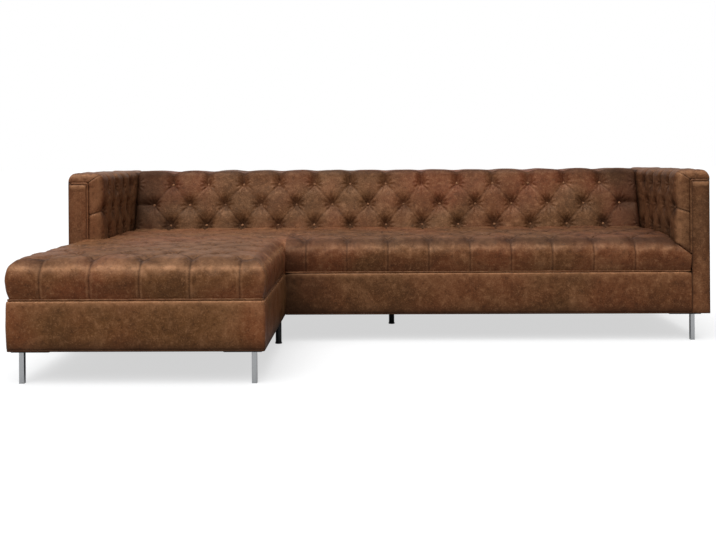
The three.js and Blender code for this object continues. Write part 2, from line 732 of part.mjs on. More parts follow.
function addLeg(name, cornerX, cornerY, wayX, wayY) {
  const half = legWidth / 2;
  const x = cornerX + wayX * legInset;
  const y = cornerY + wayY * legInset;
  const ends = (corner, way, length) => [corner, corner + way * length].sort((a, b) => a - b);
  const bar = new THREE.ExtrudeGeometry(squareOutline(x - half, x + half, y - half, y + half, legCorner), {
    depth: legHeight - plateThickness / 2, bevelEnabled: false, curveSegments: cornerFacets,
  });
  const plateShape = squareOutline(
    ...ends(cornerX, wayX, plateLength), ...ends(cornerY, wayY, plateWidth), plateCorner);
  const plate = new THREE.ExtrudeGeometry(plateShape, {
    depth: plateThickness, bevelEnabled: false, curveSegments: cornerFacets,
  });
  plate.translate(0, 0, legHeight - plateThickness);
  addPiece(name, geometryOf(solidOf(bar).add(solidOf(plate))), chrome);
}

function addSupportLeg(name, x, y) {
  const profile = [
    [0, 0], [supportFoot, 0], [supportFoot, supportFootHeight], [supportRadius, supportFootHeight],
    [supportRadius, legHeight - plateThickness], [supportFlange, legHeight - plateThickness],
    [supportFlange, legHeight], [0, legHeight],
  ].map(([r, z]) => new THREE.Vector2(r, z));
  const geometry = new THREE.LatheGeometry(profile, supportFacets);
  geometry.rotateX(Math.PI / 2);
  geometry.translate(x, y, 0);
  addPiece(name, geometry, blackPlastic);
}

function addLegs() {
  const margin = coverDepth;
  addLeg('chaise_front_left_leg', chaiseLeftX + margin, chaiseFrontY + margin, 1, 1);
  addLeg('chaise_front_right_leg', chaiseRightX - margin, chaiseFrontY + margin, -1, 1);
  addLeg('bench_front_right_leg', boxRightX, benchFrontY + margin, -1, 1);
  addLeg('rear_left_leg', -boxRightX, frameBackY, 1, -1);
  addLeg('rear_right_leg', boxRightX, frameBackY, -1, -1);
  addSupportLeg('chaise_support_leg', chaiseRightX - legInset, benchFrontY - coverDepth);
  addSupportLeg('bench_support_leg', benchSupportX, benchFrontY + benchSupportSetback);
  addSupportLeg('rear_support_leg', chaiseRightX - legInset, frameBackY - legInset);
}

const crossHalf = crossBoardWidth / 2;
const acrossBox = (at) => ({ left, right }) => [left, at - crossHalf, right, at + crossHalf];
const alongBox = (at) => ({ front, rear }) => [at - crossHalf, front, at + crossHalf, rear];
addBox('chaise', boxLeftX, joinX, chaiseFrontY + coverDepth + seatedGap, (inside) => ({
  front: acrossBox((chaiseFrontY + benchFrontY) / 2)(inside),
  middle: acrossBox(benchFrontY - coverDepth)(inside),
}));
addBox('bench', joinX + seatedGap, boxRightX, frameFrontY, (inside) => ({
  left: alongBox(benchSupportX)(inside),
  right: alongBox((benchSupportX + boxRightX) / 2)(inside),
}));
addPiece('chaise_webbing',
  strapNet(boxLeftX, joinX, chaiseFrontY + coverDepth + seatedGap, seatRearY, chaiseStraps), webbing);
addPiece('bench_webbing',
  strapNet(joinX + seatedGap, panelInnerX - seatedGap, frameFrontY, seatRearY, benchStraps), webbing);
addSeats();
addBack();
addArm('left', -1);
addArm('right', 1);
addBands();
addWelts();
addLegs();

export default sofa;
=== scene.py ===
"""A long sectional sofa with a chaise on its left, tufted in brown pull-up leather, on slim metal legs.

Metres, +X to the viewer's right, +Y to the back, +Z up, with the origin on the floor.
"""
import math

import bmesh
import bpy
import numpy as np
from mathutils import Matrix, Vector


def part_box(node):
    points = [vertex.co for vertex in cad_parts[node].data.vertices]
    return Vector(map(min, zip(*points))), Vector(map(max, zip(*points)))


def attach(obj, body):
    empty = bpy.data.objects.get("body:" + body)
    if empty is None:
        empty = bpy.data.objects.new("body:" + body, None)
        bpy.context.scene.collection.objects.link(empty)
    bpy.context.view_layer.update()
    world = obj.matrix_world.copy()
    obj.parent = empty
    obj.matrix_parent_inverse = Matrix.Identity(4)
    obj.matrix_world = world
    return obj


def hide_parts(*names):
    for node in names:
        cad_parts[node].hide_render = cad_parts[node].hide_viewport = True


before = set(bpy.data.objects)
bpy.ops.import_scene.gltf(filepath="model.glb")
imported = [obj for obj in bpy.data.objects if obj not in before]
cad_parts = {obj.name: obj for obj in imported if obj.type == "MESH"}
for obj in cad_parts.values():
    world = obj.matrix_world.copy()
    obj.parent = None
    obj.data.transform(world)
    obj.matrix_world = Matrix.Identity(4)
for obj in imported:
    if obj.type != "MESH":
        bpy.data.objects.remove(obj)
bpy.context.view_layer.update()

scene = bpy.context.scene

# The camera: four metres in front of the bench and a little higher than the sofa's top, level, turned
# slightly to the left. The frame takes in more floor than ceiling, so the lens is shifted down.
image_width, image_height = 716, 540
focal_length_px, middle_px, horizon_px = 895.5, 358.9, 157.8
sensor_width = 36.0
eye = (-0.0606, -4.248, 0.8706)
turn_left, lean = 0.0173, -0.0066

lens = bpy.data.cameras.new("photographer")
lens.sensor_width = sensor_width
lens.lens = focal_length_px / image_width * sensor_width
lens.shift_x = (image_width / 2 - middle_px) / image_width
lens.shift_y = (horizon_px - image_height / 2) / image_width
lens.clip_end = 200
camera = bpy.data.objects.new("photographer", lens)
camera.matrix_world = (Matrix.Translation(eye) @ Matrix.Rotation(turn_left, 4, "Z")
                       @ Matrix.Rotation(math.pi / 2, 4, "X") @ Matrix.Rotation(lean, 4, "Z"))
scene.collection.objects.link(camera)
scene.camera = camera

# The studio: a white floor that glows a little, as a lit sweep does, and a white room around it.
# A broad soft lamp stands high on the left in front, and a weaker one hangs overhead.
floor_reach = 60
floor_tone, floor_glow = 0.34, 0.63
scene.view_settings.view_transform = "Standard"


def feed(tree, socket, value):
    """Feeds a socket from another socket, or sets it to a value."""
    if isinstance(value, bpy.types.NodeSocket):
        tree.links.new(value, socket)
    else:
        socket.default_value = value


def add_node(tree, kind, settings=None, **feeds):
    """A node with its settings; each feed is a value or the socket that feeds it."""
    made = tree.nodes.new(kind)
    for name, value in (settings or {}).items():
        setattr(made, name, value)
    for name, value in feeds.items():
        feed(tree, made.inputs[name.replace("_", " ")], value)
    return made


def blend(tree, share, one, two):
    """A colour that goes from one to two as the share goes from 0 to 1."""
    made = add_node(tree, "ShaderNodeMix", {"data_type": "RGBA"})
    for socket, value in ((made.inputs[0], share), (made.inputs[6], one), (made.inputs[7], two)):
        feed(tree, socket, value)
    return made.outputs[2]


def remap(tree, value, low, high, new_low=0.0, new_high=1.0, kind="LINEAR"):
    """A value between low and high, moved to the same share of the way between two others."""
    made = add_node(tree, "ShaderNodeMapRange", {"interpolation_type": kind}, Value=value, From_Min=low,
                    From_Max=high, To_Min=new_low, To_Max=new_high)
    return made.outputs["Result"]


def tint(tree, share, *stops):
    """A colour by the share's value; each stop is its position and its colour."""
    made = add_node(tree, "ShaderNodeValToRGB", Fac=share)
    for element, (position, colour) in zip(made.color_ramp.elements, stops):
        element.position, element.color = position, colour
    return made.outputs["Color"]


def new_material(name):
    """A material with one shader, and the shader and its node tree."""
    material = bpy.data.materials.new(name)
    material.use_nodes = True
    tree = material.node_tree
    return material, tree, tree.nodes["Principled BSDF"]


sweep_white, sweep_tree, sweep_shader = new_material("white_sweep")
sweep_shader.inputs["Base Color"].default_value = (floor_tone, floor_tone, floor_tone, 1)
sweep_shader.inputs["Roughness"].default_value = 0.9
sweep_shader.inputs["Specular IOR Level"].default_value = 0.0
looked_at = add_node(sweep_tree, "ShaderNodeLightPath")
sweep_tree.links.new(looked_at.outputs["Is Camera Ray"], sweep_shader.inputs["Emission Color"])
sweep_shader.inputs["Emission Strength"].default_value = floor_glow
floor_mesh = bpy.data.meshes.new("studio_floor")
floor_mesh.from_pydata([(x * floor_reach, y * floor_reach, 0) for x, y in
                        ((-1, -1), (1, -1), (1, 1), (-1, 1))], [], [(0, 1, 2, 3)])
floor_mesh.materials.append(sweep_white)
floor = bpy.data.objects.new("studio_floor", floor_mesh)
scene.collection.objects.link(floor)

room = bpy.data.worlds.new("white_room")
room.use_nodes = True
scene.world = room
room_tree = room.node_tree
room_light = room_tree.nodes["Background"]
direction = add_node(room_tree, "ShaderNodeTexCoord")
height = add_node(room_tree, "ShaderNodeSeparateXYZ", Vector=direction.outputs["Generated"])
fade = tint(room_tree, height.outputs["Z"], (0.0, (0.16, 0.165, 0.175, 1)), (0.75, (0.55, 0.56, 0.58, 1)))
to_right = remap(room_tree, height.outputs["X"], -0.2, 0.8, 1.15, 0.5)
dimmed = add_node(room_tree, "ShaderNodeVectorMath", {"operation": "SCALE"}, Scale=to_right)
room_tree.links.new(fade, dimmed.inputs[0])
seen = add_node(room_tree, "ShaderNodeLightPath")
backdrop = blend(room_tree, seen.outputs["Is Camera Ray"], dimmed.outputs[0], (1, 1, 1, 1))
room_tree.links.new(backdrop, room_light.inputs["Color"])
room_light.inputs["Strength"].default_value = 1.0


def add_lamp(name, strength, spread_degrees, azimuth_degrees, height_degrees):
    """A far soft lamp; azimuth 0 is straight in front, and more is further round to the right."""
    lamp = bpy.data.lights.new(name, "SUN")
    lamp.energy = strength
    lamp.angle = math.radians(spread_degrees)
    holder = bpy.data.objects.new(name, lamp)
    holder.rotation_euler = (math.radians(90 - height_degrees), 0, math.radians(azimuth_degrees))
    scene.collection.objects.link(holder)


add_lamp("key_lamp", 2.3, 56, -16, 57)
add_lamp("overhead_lamp", 0.9, 60, 5, 80)

# Kiln-dried hardwood boards, planed and left bare, since the leather hides them all: four rails and two
# flat boards in each seat box, the back's rails and posts, and the arms' boards. Glued and dowelled.
wood_pale, wood_dark = "c9a873", "8f6a3e"


def linear(hex_colour):
    """A colour as it looks on screen, turned into light values."""
    parts = [int(hex_colour[i:i + 2], 16) / 255 for i in (0, 2, 4)]
    return tuple(p / 12.92 if p <= 0.04045 else ((p + 0.055) / 1.055) ** 2.4 for p in parts) + (1.0,)


def new_group(name, takes, gives):
    """A node group, the sockets it is given and those it gives back; each has a name and a kind."""
    group = bpy.data.node_groups.new(name, "ShaderNodeTree")
    for sockets, way in ((takes, "INPUT"), (gives, "OUTPUT")):
        for label, kind in sockets.items():
            group.interface.new_socket(label, in_out=way, socket_type="NodeSocket" + kind)
    return group, group.nodes.new("NodeGroupInput").outputs, group.nodes.new("NodeGroupOutput").inputs


def finish(tree, shader, colour, relief_by, strength, depth, roughness):
    """Gives a shader its colour, its roughness and a relief that follows a height."""
    relief = add_node(tree, "ShaderNodeBump", Strength=strength, Distance=depth, Height=relief_by)
    feed(tree, shader.inputs["Base Color"], colour)
    feed(tree, shader.inputs["Normal"], relief.outputs["Normal"])
    feed(tree, shader.inputs["Roughness"], roughness)


def planed_wood():
    """Grain and pores, drawn out along the board by Stretch."""
    group, given, result = new_group("planed_wood", {"Stretch": "Vector"},
                                     {"Color": "Color", "Height": "Float"})
    where = add_node(group, "ShaderNodeTexCoord")
    along = add_node(group, "ShaderNodeVectorMath", {"operation": "MULTIPLY"})
    group.links.new(where.outputs["Object"], along.inputs[0])
    group.links.new(given["Stretch"], along.inputs[1])
    rings = add_node(group, "ShaderNodeTexNoise", Vector=along.outputs[0], Scale=9.0, Detail=5.0,
                     Roughness=0.6, Distortion=0.4)
    pores = add_node(group, "ShaderNodeTexNoise", Vector=along.outputs[0], Scale=120.0, Detail=3.0)
    shade = tint(group, rings.outputs["Fac"], (0.35, linear(wood_dark)), (0.65, linear(wood_pale)))
    group.links.new(shade, result["Color"])
    group.links.new(pores.outputs["Fac"], result["Height"])
    return group


wood_nodes = planed_wood()


def hardwood(name, stretch):
    """Planed timber; stretch shrinks the pattern's place along the board, so its grain runs that way."""
    material, tree, shader = new_material(name)
    effect = add_node(tree, "ShaderNodeGroup", {"node_tree": wood_nodes}, Stretch=stretch).outputs
    finish(tree, shader, effect["Color"], effect["Height"], 0.3, 0.0006, 0.7)
    return material


def cover_with(node, material):
    """Gives one of the frame's own pieces its material in place of the plain one."""
    node.data.materials.clear()
    node.data.materials.append(material)


board_grain = {
    "x": hardwood("hardwood_along_x", (0.06, 1, 1)),
    "y": hardwood("hardwood_along_y", (1, 0.06, 1)),
    "z": hardwood("hardwood_along_z", (1, 1, 0.06)),
}
for name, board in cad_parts.items():
    if name.endswith(("_rail", "_board", "_post")):
        low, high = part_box(name)
        reach = [h - l for l, h in zip(low, high)]
        cover_with(board, board_grain["xyz"[reach.index(max(reach))]])

# Elastic webbing, 70 mm wide, stretched over the boxes from rail to rail and stapled. It is woven from
# rubber threads in black and grey.
web_black, web_grey = "24211f", "6a6660"
strap_weave, weave_tree, weave_shader = new_material("elastic_webbing")
weave_place = add_node(weave_tree, "ShaderNodeTexCoord").outputs["Object"]
crossing = add_node(weave_tree, "ShaderNodeMath", {"operation": "MULTIPLY"})
for socket, way, threads in ((0, "X", 160.0), (1, "Y", 110.0)):
    ribs = add_node(weave_tree, "ShaderNodeTexWave", {"bands_direction": way}, Vector=weave_place,
                    Scale=threads)
    weave_tree.links.new(ribs.outputs["Fac"], crossing.inputs[socket])
weave_shade = tint(weave_tree, crossing.outputs[0], (0.0, linear(web_black)), (1.0, linear(web_grey)))
finish(weave_tree, weave_shader, weave_shade, crossing.outputs[0], 0.6, 0.0008, 0.85)
for name in ("chaise_webbing", "bench_webbing"):
    cover_with(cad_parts[name], strap_weave)

# Cut foam cores, one in each seat cushion, a little crowned so that the cover stays tight.
# They stand on the webbing, and the padding and the leather close over them.
foam_cream, foam_pore = "e9dfb6", "bda873"


def ripple(points, wavelength, seed):
    """The slow unevenness of handwork at each point, from about -1 to 1 and the same on each run."""
    draw = np.random.default_rng(seed)
    waves = 10
    total = np.zeros(points.shape[:-1])
    for _ in range(waves):
        way = draw.normal(size=3)
        way *= draw.uniform(0.6, 1.5) / np.linalg.norm(way)
        total += np.sin(points @ way * (2 * math.pi / wavelength) + draw.uniform(0, 2 * math.pi))
    return total / waves ** 0.5


def add_piece(name, points, faces, material, **marks):
    """A smooth-shaded piece on the sofa, with its marks for wear, painted highlights, folds, seams and
    painted shade kept at each of its points.
    """
    mesh = bpy.data.meshes.new(name)
    mesh.from_pydata(points.reshape(-1, 3).tolist(), [], faces)
    for mark, values in marks.items():
        mesh.attributes.new(mark, "FLOAT", "POINT").data.foreach_set("value", values.ravel())
    mesh.materials.append(material)
    mesh.shade_smooth()
    piece = bpy.data.objects.new(name, mesh)
    scene.collection.objects.link(piece)
    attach(piece, "root")
    return piece


def facing(points, wrapped=False):
    """The direction that a grid of points faces at each point, taken from its neighbours."""
    down = np.gradient(points, axis=0)
    if wrapped:
        over = np.roll(points, -1, axis=1) - np.roll(points, 1, axis=1)
    else:
        over = np.gradient(points, axis=1)
    normal = np.cross(down, over)
    normal /= np.maximum(np.linalg.norm(normal, axis=-1, keepdims=True), 1e-12)
    middle = points.mean(axis=(0, 1))
    return normal if ((points - middle) * normal).sum() > 0 else -normal


def cell_corners(index):
    """The points at the four corners of each cell of a grid, in turn round the cell."""
    return index[:-1, :-1], index[1:, :-1], index[1:, 1:], index[:-1, 1:]


def folded_triangles(index, points, normals):
    """Triangles over a grid, each cell split along its deeper diagonal, as leather folds."""
    a, b, c, d = cell_corners(index)
    flat, ways = points.reshape(-1, 3), normals.reshape(-1, 3)
    rise = ((flat[a] + flat[c] - flat[b] - flat[d]) * ways[a]).sum(axis=-1)
    deeper = (rise <= 0)[..., None]
    first_half = np.where(deeper, np.stack([a, b, c], -1), np.stack([b, c, d], -1))
    second_half = np.where(deeper, np.stack([a, c, d], -1), np.stack([b, d, a], -1))
    return np.concatenate([first_half.reshape(-1, 3), second_half.reshape(-1, 3)])


def outward(points, triangles):
    """The triangles turned so that the body they close faces out."""
    a, b, c = (points.reshape(-1, 3)[triangles[:, k]] for k in range(3))
    return triangles if (a * np.cross(b, c)).sum() > 0 else triangles[:, ::-1]


def loft_body(name, rings, material, **marks):
    """A closed body through a row of rings, flat at both ends."""
    count, around = rings.shape[:2]
    index = np.arange(count * around).reshape(count, around)
    looped = np.concatenate([index, index[:, :1]], axis=1)
    triangles = folded_triangles(looped, rings, facing(rings, True))
    middles = [rings[0].mean(axis=0), rings[-1].mean(axis=0)]
    points = np.concatenate([rings.reshape(-1, 3), middles])
    fans = [np.stack([np.full(around, index.size), looped[0, :-1], looped[0, 1:]], -1),
            np.stack([np.full(around, index.size + 1), looped[-1, 1:], looped[-1, :-1]], -1)]
    trial = np.concatenate([triangles, *fans])
    turned = outward(points, trial)[0, 0] != trial[0, 0]
    faces = (triangles[:, ::-1] if turned else triangles).tolist()
    ends = [index[0].tolist(), index[-1][::-1].tolist()]
    faces += [end[::-1] if turned else end for end in ends]
    return add_piece(name, rings, faces, material, **marks)


foam_material, foam_tree, foam_shader = new_material("cut_foam")
foam_place = add_node(foam_tree, "ShaderNodeTexCoord").outputs["Object"]
foam_holes = add_node(foam_tree, "ShaderNodeTexVoronoi", Vector=foam_place, Scale=420.0)
foam_shade = tint(foam_tree, foam_holes.outputs["Distance"], (0.0, linear(foam_pore)),
                  (0.6, linear(foam_cream)))
finish(foam_tree, foam_shader, foam_shade, foam_holes.outputs["Distance"], 0.5, 0.001, 0.95)

foam_crown, foam_edge = 0.006, 0.012
edge_share_up, edge_share_in = foam_edge / 0.09, foam_edge / 0.5
for name in ("chaise_seat_foam", "bench_seat_foam"):
    low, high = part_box(name)
    along = np.linspace(0, 1, 25)
    profile = np.array([(0, 0), (1, 0), (1, 1 - edge_share_up), (1 - edge_share_in, 1)]
                       + [(share, 1) for share in np.linspace(0.92, 0.08, 12)]
                       + [(edge_share_in, 1), (0, 1 - edge_share_up)])
    block = np.zeros((len(along), len(profile), 3))
    block[..., 0] = low[0] + (high[0] - low[0]) * along[:, None]
    block[..., 1] = low[1] + (high[1] - low[1]) * profile[None, :, 0]
    dome = np.sin(math.pi * along)[:, None] * np.sin(math.pi * profile[None, :, 0])
    ease = foam_edge * (np.abs(2 * along - 1) > 0.999)[:, None] + foam_crown * (1 - dome)
    block[..., 2] = low[2] + (high[2] - low[2] - ease) * profile[None, :, 1]
    core = loft_body(name.replace("_foam", "_core"), block, foam_material)
    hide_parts(name)

# Brown pull-up leather for every cover: waxed hides whose colour moves under the hand. It is mottled in
# patches from red to olive brown. It turns tan on edges, crests and puffs, partly from wear and partly as a
# painted highlight. It turns dark and matt in folds, seams, corners and at the feet, partly as the leather's
# own darker folds and seams and partly as painted shade.
hide_deep, hide_tan = "26140c", "a07250"


def leather_effect():
    """The mottling, grain, wear, painted highlights and painted shade that all hides share."""
    group, given, result = new_group(
        "pull_up_leather", {"Shade": "Color", "Second Shade": "Color", "Deep": "Color", "Rubbed": "Color",
                            "Hide": "Vector", "Wear": "Float"},
        {"Color": "Color", "Roughness": "Float", "Height": "Float"})

    def noise(scale, detail, roughness, distortion=0.0):
        made = add_node(group, "ShaderNodeTexNoise", Vector=spot.outputs[0], Scale=scale, Detail=detail,
                        Roughness=roughness, Distortion=distortion)
        return made.outputs["Fac"]

    def stretch(value, low, high, new_low=0.0, new_high=1.0):
        return remap(group, value, low, high, new_low, new_high, "SMOOTHSTEP")

    def calc(operation, one, two):
        made = add_node(group, "ShaderNodeMath", {"operation": operation})
        feed(group, made.inputs[0], one)
        feed(group, made.inputs[1], two)
        return made.outputs[0]

    place = add_node(group, "ShaderNodeTexCoord")
    spot = add_node(group, "ShaderNodeVectorMath", {"operation": "ADD"})
    group.links.new(place.outputs["Object"], spot.inputs[0])
    group.links.new(given["Hide"], spot.inputs[1])
    # Two marks kept on each piece: one lightens for wear and painted highlights, the other darkens for
    # folds, seams and painted shade.
    rub = add_node(group, "ShaderNodeAttribute", {"attribute_name": "rub"}).outputs["Fac"]
    fold = add_node(group, "ShaderNodeAttribute", {"attribute_name": "fold"}).outputs["Fac"]
    clouds = noise(2.4, 2.0, 0.5, 0.3)
    patches = noise(9.0, 5.0, 0.62, 0.5)
    mottle = noise(42.0, 5.0, 0.68, 0.2)
    flecks = noise(170.0, 3.0, 0.7)
    scars = add_node(group, "ShaderNodeTexVoronoi", {"feature": "DISTANCE_TO_EDGE"}, Scale=5.5)
    bent = add_node(group, "ShaderNodeVectorMath", {"operation": "ADD"})
    swirl = add_node(group, "ShaderNodeTexNoise", Vector=spot.outputs[0], Scale=6.0, Detail=3.0)
    group.links.new(spot.outputs[0], bent.inputs[0])
    group.links.new(swirl.outputs["Color"], bent.inputs[1])
    group.links.new(bent.outputs[0], scars.inputs["Vector"])

    tone = blend(group, stretch(clouds, 0.36, 0.64), given["Shade"], given["Second Shade"])
    for pattern, none_at, most_at, most, shade in (
            (patches, 0.46, 0.72, 0.34, "Deep"), (patches, 0.52, 0.30, 0.22, "Rubbed"),
            (mottle, 0.50, 0.76, 0.42, "Rubbed"), (mottle, 0.48, 0.28, 0.50, "Deep"),
            (flecks, 0.53, 0.75, 0.50, "Rubbed"), (flecks, 0.47, 0.28, 0.46, "Deep")):
        tone = blend(group, stretch(pattern, none_at, most_at, 0.0, most), tone, given[shade])
    scar_line = calc("MULTIPLY", stretch(scars.outputs["Distance"], 0.0, 0.014, 0.22, 0.0),
                     stretch(clouds, 0.45, 0.62))
    tone = blend(group, scar_line, tone, given["Rubbed"])
    # Worn places and painted highlights lighten to tan; folds, seams and painted shade darken to the deep
    # shade.
    worn = calc("MULTIPLY", calc("MULTIPLY", rub, given["Wear"]), stretch(mottle, 0.30, 0.62, 0.35, 1.0))
    tone = blend(group, worn, tone, given["Rubbed"])
    tone = blend(group, calc("MULTIPLY", fold, 0.8), tone, given["Deep"])
    group.links.new(tone, result["Color"])
    gloss = calc("SUBTRACT", stretch(patches, 0.35, 0.65, 0.37, 0.50), calc("MULTIPLY", rub, 0.16))
    group.links.new(calc("ADD", gloss, calc("MULTIPLY", fold, 0.2)), result["Roughness"])

    pebbles = add_node(group, "ShaderNodeTexVoronoi", Vector=spot.outputs[0], Scale=520.0)
    relief = calc("ADD", calc("MULTIPLY", pebbles.outputs["Distance"], 0.25), calc("MULTIPLY", flecks, 0.3))
    wrinkles = calc("ABSOLUTE", calc("SUBTRACT", noise(24.0, 3.0, 0.55, 1.2), 0.5), 0.0)
    relief = calc("ADD", relief, calc("MULTIPLY", mottle, 1.0))
    relief = calc("ADD", relief, stretch(wrinkles, 0.0, 0.05, 0.0, 0.55))
    group.links.new(relief, result["Height"])
    return group


leather_nodes = leather_effect()


def leather(name, shade, second, hide, wear):
    """One hide's material: its two shades, the part of the pattern it was cut from, and how much wear and
    painted highlights lighten it.
    """
    material, tree, shader = new_material(name)
    effect = add_node(tree, "ShaderNodeGroup", {"node_tree": leather_nodes}, Shade=linear(shade),
                      Second_Shade=linear(second), Deep=linear(hide_deep), Rubbed=linear(hide_tan),
                      Hide=hide, Wear=wear).outputs
    finish(tree, shader, effect["Color"], effect["Height"], 0.5, 0.0015, effect["Roughness"])
    shader.inputs["Specular IOR Level"].default_value = 0.28
    shader.inputs["Specular Tint"].default_value = linear("ffd2ae")
    return material


# The two seat cushions: foam wrapped in padding and a tufted cover, the tufts pulled down blind from
# below. The chaise's runs from the back to its foot and round the left arm; the bench's meets it and
# goes under the right arm. Pleats run from the outer tufts over the edges down to the welt.
half_column = 2.710 / 14 / 2
seat_height, deck = 0.500, 0.3258
bench_front, chaise_front, seat_rear = -0.025, -0.825, 0.5624
chaise_left, chaise_right = -1.486, -0.484
arm_face, panel_edge, half_width, back_plane, top_edge = 1.355, 1.422, 1.510, 0.825, 0.805
under_arm, under_arm_outer, under_back = 0.460, 0.406, 0.450
back_rake = math.radians(18)
back_slope = math.tan(back_rake)
seat_back = 0.544
back_foot_y = seat_back + (under_back - seat_height) * back_slope
touch = 0.0003
cells = 20
edge_cells, face_cells = 18, 12
roll_in, roll_down = 0.062, 0.080
crown_fall, crown_reach = 0.016, 0.300
tuck_in, bulge_top, seat_overhang = 0.013, 0.070, 0.005
seat_tuft_depth, seat_fold_depth = 0.016, 0.0075
seat_gather, crinkle_depth = 0.0018, 0.0035
first_row_in, seat_row_pitch = 0.065, 0.100
seat_tufting = {"fold_share": 0.52, "knot_reach": 0.20, "pleat_share": 0.42, "fold_shade": 0.75}
fold_soft, shoulder_at, shoulder_width = 0.14, 0.08, 0.032
gathers, gather_at, gather_width = 11, 0.29, 0.15
corner_power, left_squareness, last_pleat = 9, 0.30, 13


def hump(value, middle, width):
    """1 where the value is at the middle, dying away to both sides over the width."""
    return np.exp(-((value - middle) / width) ** 2)


def die_away(distance, reach):
    """1 where the distance is 0 or less, and about a third of it left at each further reach."""
    return np.exp(-np.maximum(distance, 0) / reach)


def crease(off, soft):
    """A fold's section: a sharp line in a soft dip; off is the distance from it in half columns."""
    return 0.70 * die_away(off, 0.04) + 0.30 * hump(off, 0, soft)


def by_hand(rising, falling):
    """A number from 0 to 1 for each tuft, since no two are drawn down alike."""
    return (np.sin(12.9898 * rising + 78.233 * falling) * 43758.5453) % 1


def tufted(across, along, first, last, rows, fold_share, knot_reach, pleat_share, pleat_soft=fold_soft,
           pleat_line=1.0, fold_shade=0.0):
    """How high a tufted cover stands, 0 at a tuft and 1 on a puff, how near it is to a fold's line, and
    how near to the raised leather beside that line.

    across counts half columns and along counts rows. Folds cross as diamonds between the tufts, and run
    out straight past the field's sides and ends, as sharp there as pleat_line says. The shares are the
    depths of folds and pleats, and fold_shade is how dark a broad painted shade lies in the folds."""
    column, row = np.clip(across, first, last), np.clip(along, 0, rows - 1)
    aside = np.minimum(1, np.abs(across - column))
    beyond = np.minimum(1, np.abs(along - row))
    rising, falling = (column + row) / 2, (column - row) / 2
    off_rising, off_falling = np.abs(rising - np.round(rising)), np.abs(falling - np.round(falling))
    away = math.sqrt(2) * np.hypot(off_rising, off_falling)
    vary = by_hand(np.round(rising), np.round(falling))
    knot = (0.85 + 0.15 * vary) * np.exp(-(away / (knot_reach * (0.8 + 0.4 * vary))) ** 1.6)
    deep = 0.3 + (0.5 + 0.4 * vary) * hump(away, 0, 0.6)
    folds = 1 - (1 - crease(1.4 * off_rising, fold_soft)) * (1 - crease(1.4 * off_falling, fold_soft))
    inside = (1 - knot) * (1 - fold_share * folds * deep)
    off_side = np.abs((np.clip(along, -1, rows) - column + 1) % 2 - 1)
    off_end = np.abs((np.clip(across, first - 1, last + 1) - row + 1) % 2 - 1)
    side = 1 - pleat_share * crease(off_side, fold_soft)
    soft_dip = hump(off_end, 0, pleat_soft)
    end = 1 - pleat_share * (pleat_line * crease(off_end, fold_soft) + (1 - pleat_line) * soft_dip)
    in_field, in_corner = (1 - aside) * (1 - beyond), aside * beyond
    at_side, at_end = aside * (1 - beyond), beyond * (1 - aside)
    lift = in_field * inside + at_side * side + at_end * end + in_corner
    off_fold = np.minimum(off_rising, off_falling) * 1.4
    line = np.maximum(die_away(off_fold, 0.045), fold_shade * np.exp(-(off_fold / 0.24) ** 1.5))
    near = in_field * np.maximum(line * deep, knot * (1 - 0.7 * fold_shade))
    near = near + at_side * die_away(off_side, 0.03) + pleat_line * at_end * die_away(off_end, 0.03)
    beside = [hump(off, shoulder_at, shoulder_width) for off in (off_fold, off_side, off_end)]
    shoulder = in_field * beside[0] * deep + at_side * beside[1] + pleat_line * at_end * beside[2]
    return lift, near, shoulder


def from_tuft(across, along):
    """Which tuft is the nearest, and how far off it a point is, across and along."""
    rising, falling = (across + along) / 2, (across - along) / 2
    nearest = np.round(rising), np.round(falling)
    off_rising, off_falling = rising - nearest[0], falling - nearest[1]
    return nearest, off_rising + off_falling, off_rising - off_falling


def starburst(across, along, seed):
    """Small gathers round each tuft, where the cover is drawn together."""
    nearest, off_across, off_along = from_tuft(across, along)
    turn = np.arctan2(off_along, off_across)
    shift = 6 * by_hand(nearest[0] + seed, nearest[1])
    return hump(np.hypot(off_across, off_along), gather_at, gather_width) * np.cos(gathers * turn + shift)


def edge_fall(inward, radius):
    """How far a rounded edge falls at a distance in from it."""
    near = np.clip(radius - inward, 0, radius)
    return radius - np.sqrt(np.maximum(radius ** 2 - near ** 2, 0))


def cut_away(piece, outline, run, along):
    """Cuts a straight-sided shape out of a piece: an outline carried along X or Y."""
    rings = np.zeros((2, len(outline), 3))
    first, second = (1, 2) if along == 0 else (0, 2)
    rings[..., first] = [p[0] for p in outline]
    rings[..., second] = [p[1] for p in outline]
    rings[0, :, along], rings[1, :, along] = run
    count = len(outline)
    sides = [(i, (i + 1) % count, (i + 1) % count + count, i + count) for i in range(count)]
    tool_mesh = bpy.data.meshes.new("cutter")
    tool_mesh.from_pydata(rings.reshape(-1, 3).tolist(), [],
                          sides + [tuple(range(count))[::-1], tuple(range(count, 2 * count))])
    tool_mesh.validate()
    tool = bpy.data.objects.new("cutter", tool_mesh)
    scene.collection.objects.link(tool)
    volume = sum(v.co.dot(v.normal) for v in tool_mesh.vertices)
    if volume < 0:
        tool_mesh.flip_normals()
    cut = piece.modifiers.new("cut", "BOOLEAN")
    cut.operation, cut.solver, cut.object = "DIFFERENCE", "MANIFOLD", tool
    graph = bpy.context.evaluated_depsgraph_get()
    done = bpy.data.meshes.new_from_object(piece.evaluated_get(graph))
    piece.modifiers.clear()
    old = piece.data
    piece.data = done
    bpy.data.meshes.remove(old)
    bpy.data.objects.remove(tool)
    bpy.data.meshes.remove(tool_mesh)


def rim_of(index):
    """The points round the outside of a grid, in turn."""
    return np.concatenate([index[0, :-1], index[:-1, -1], index[-1, :0:-1], index[:0:-1, 0]])


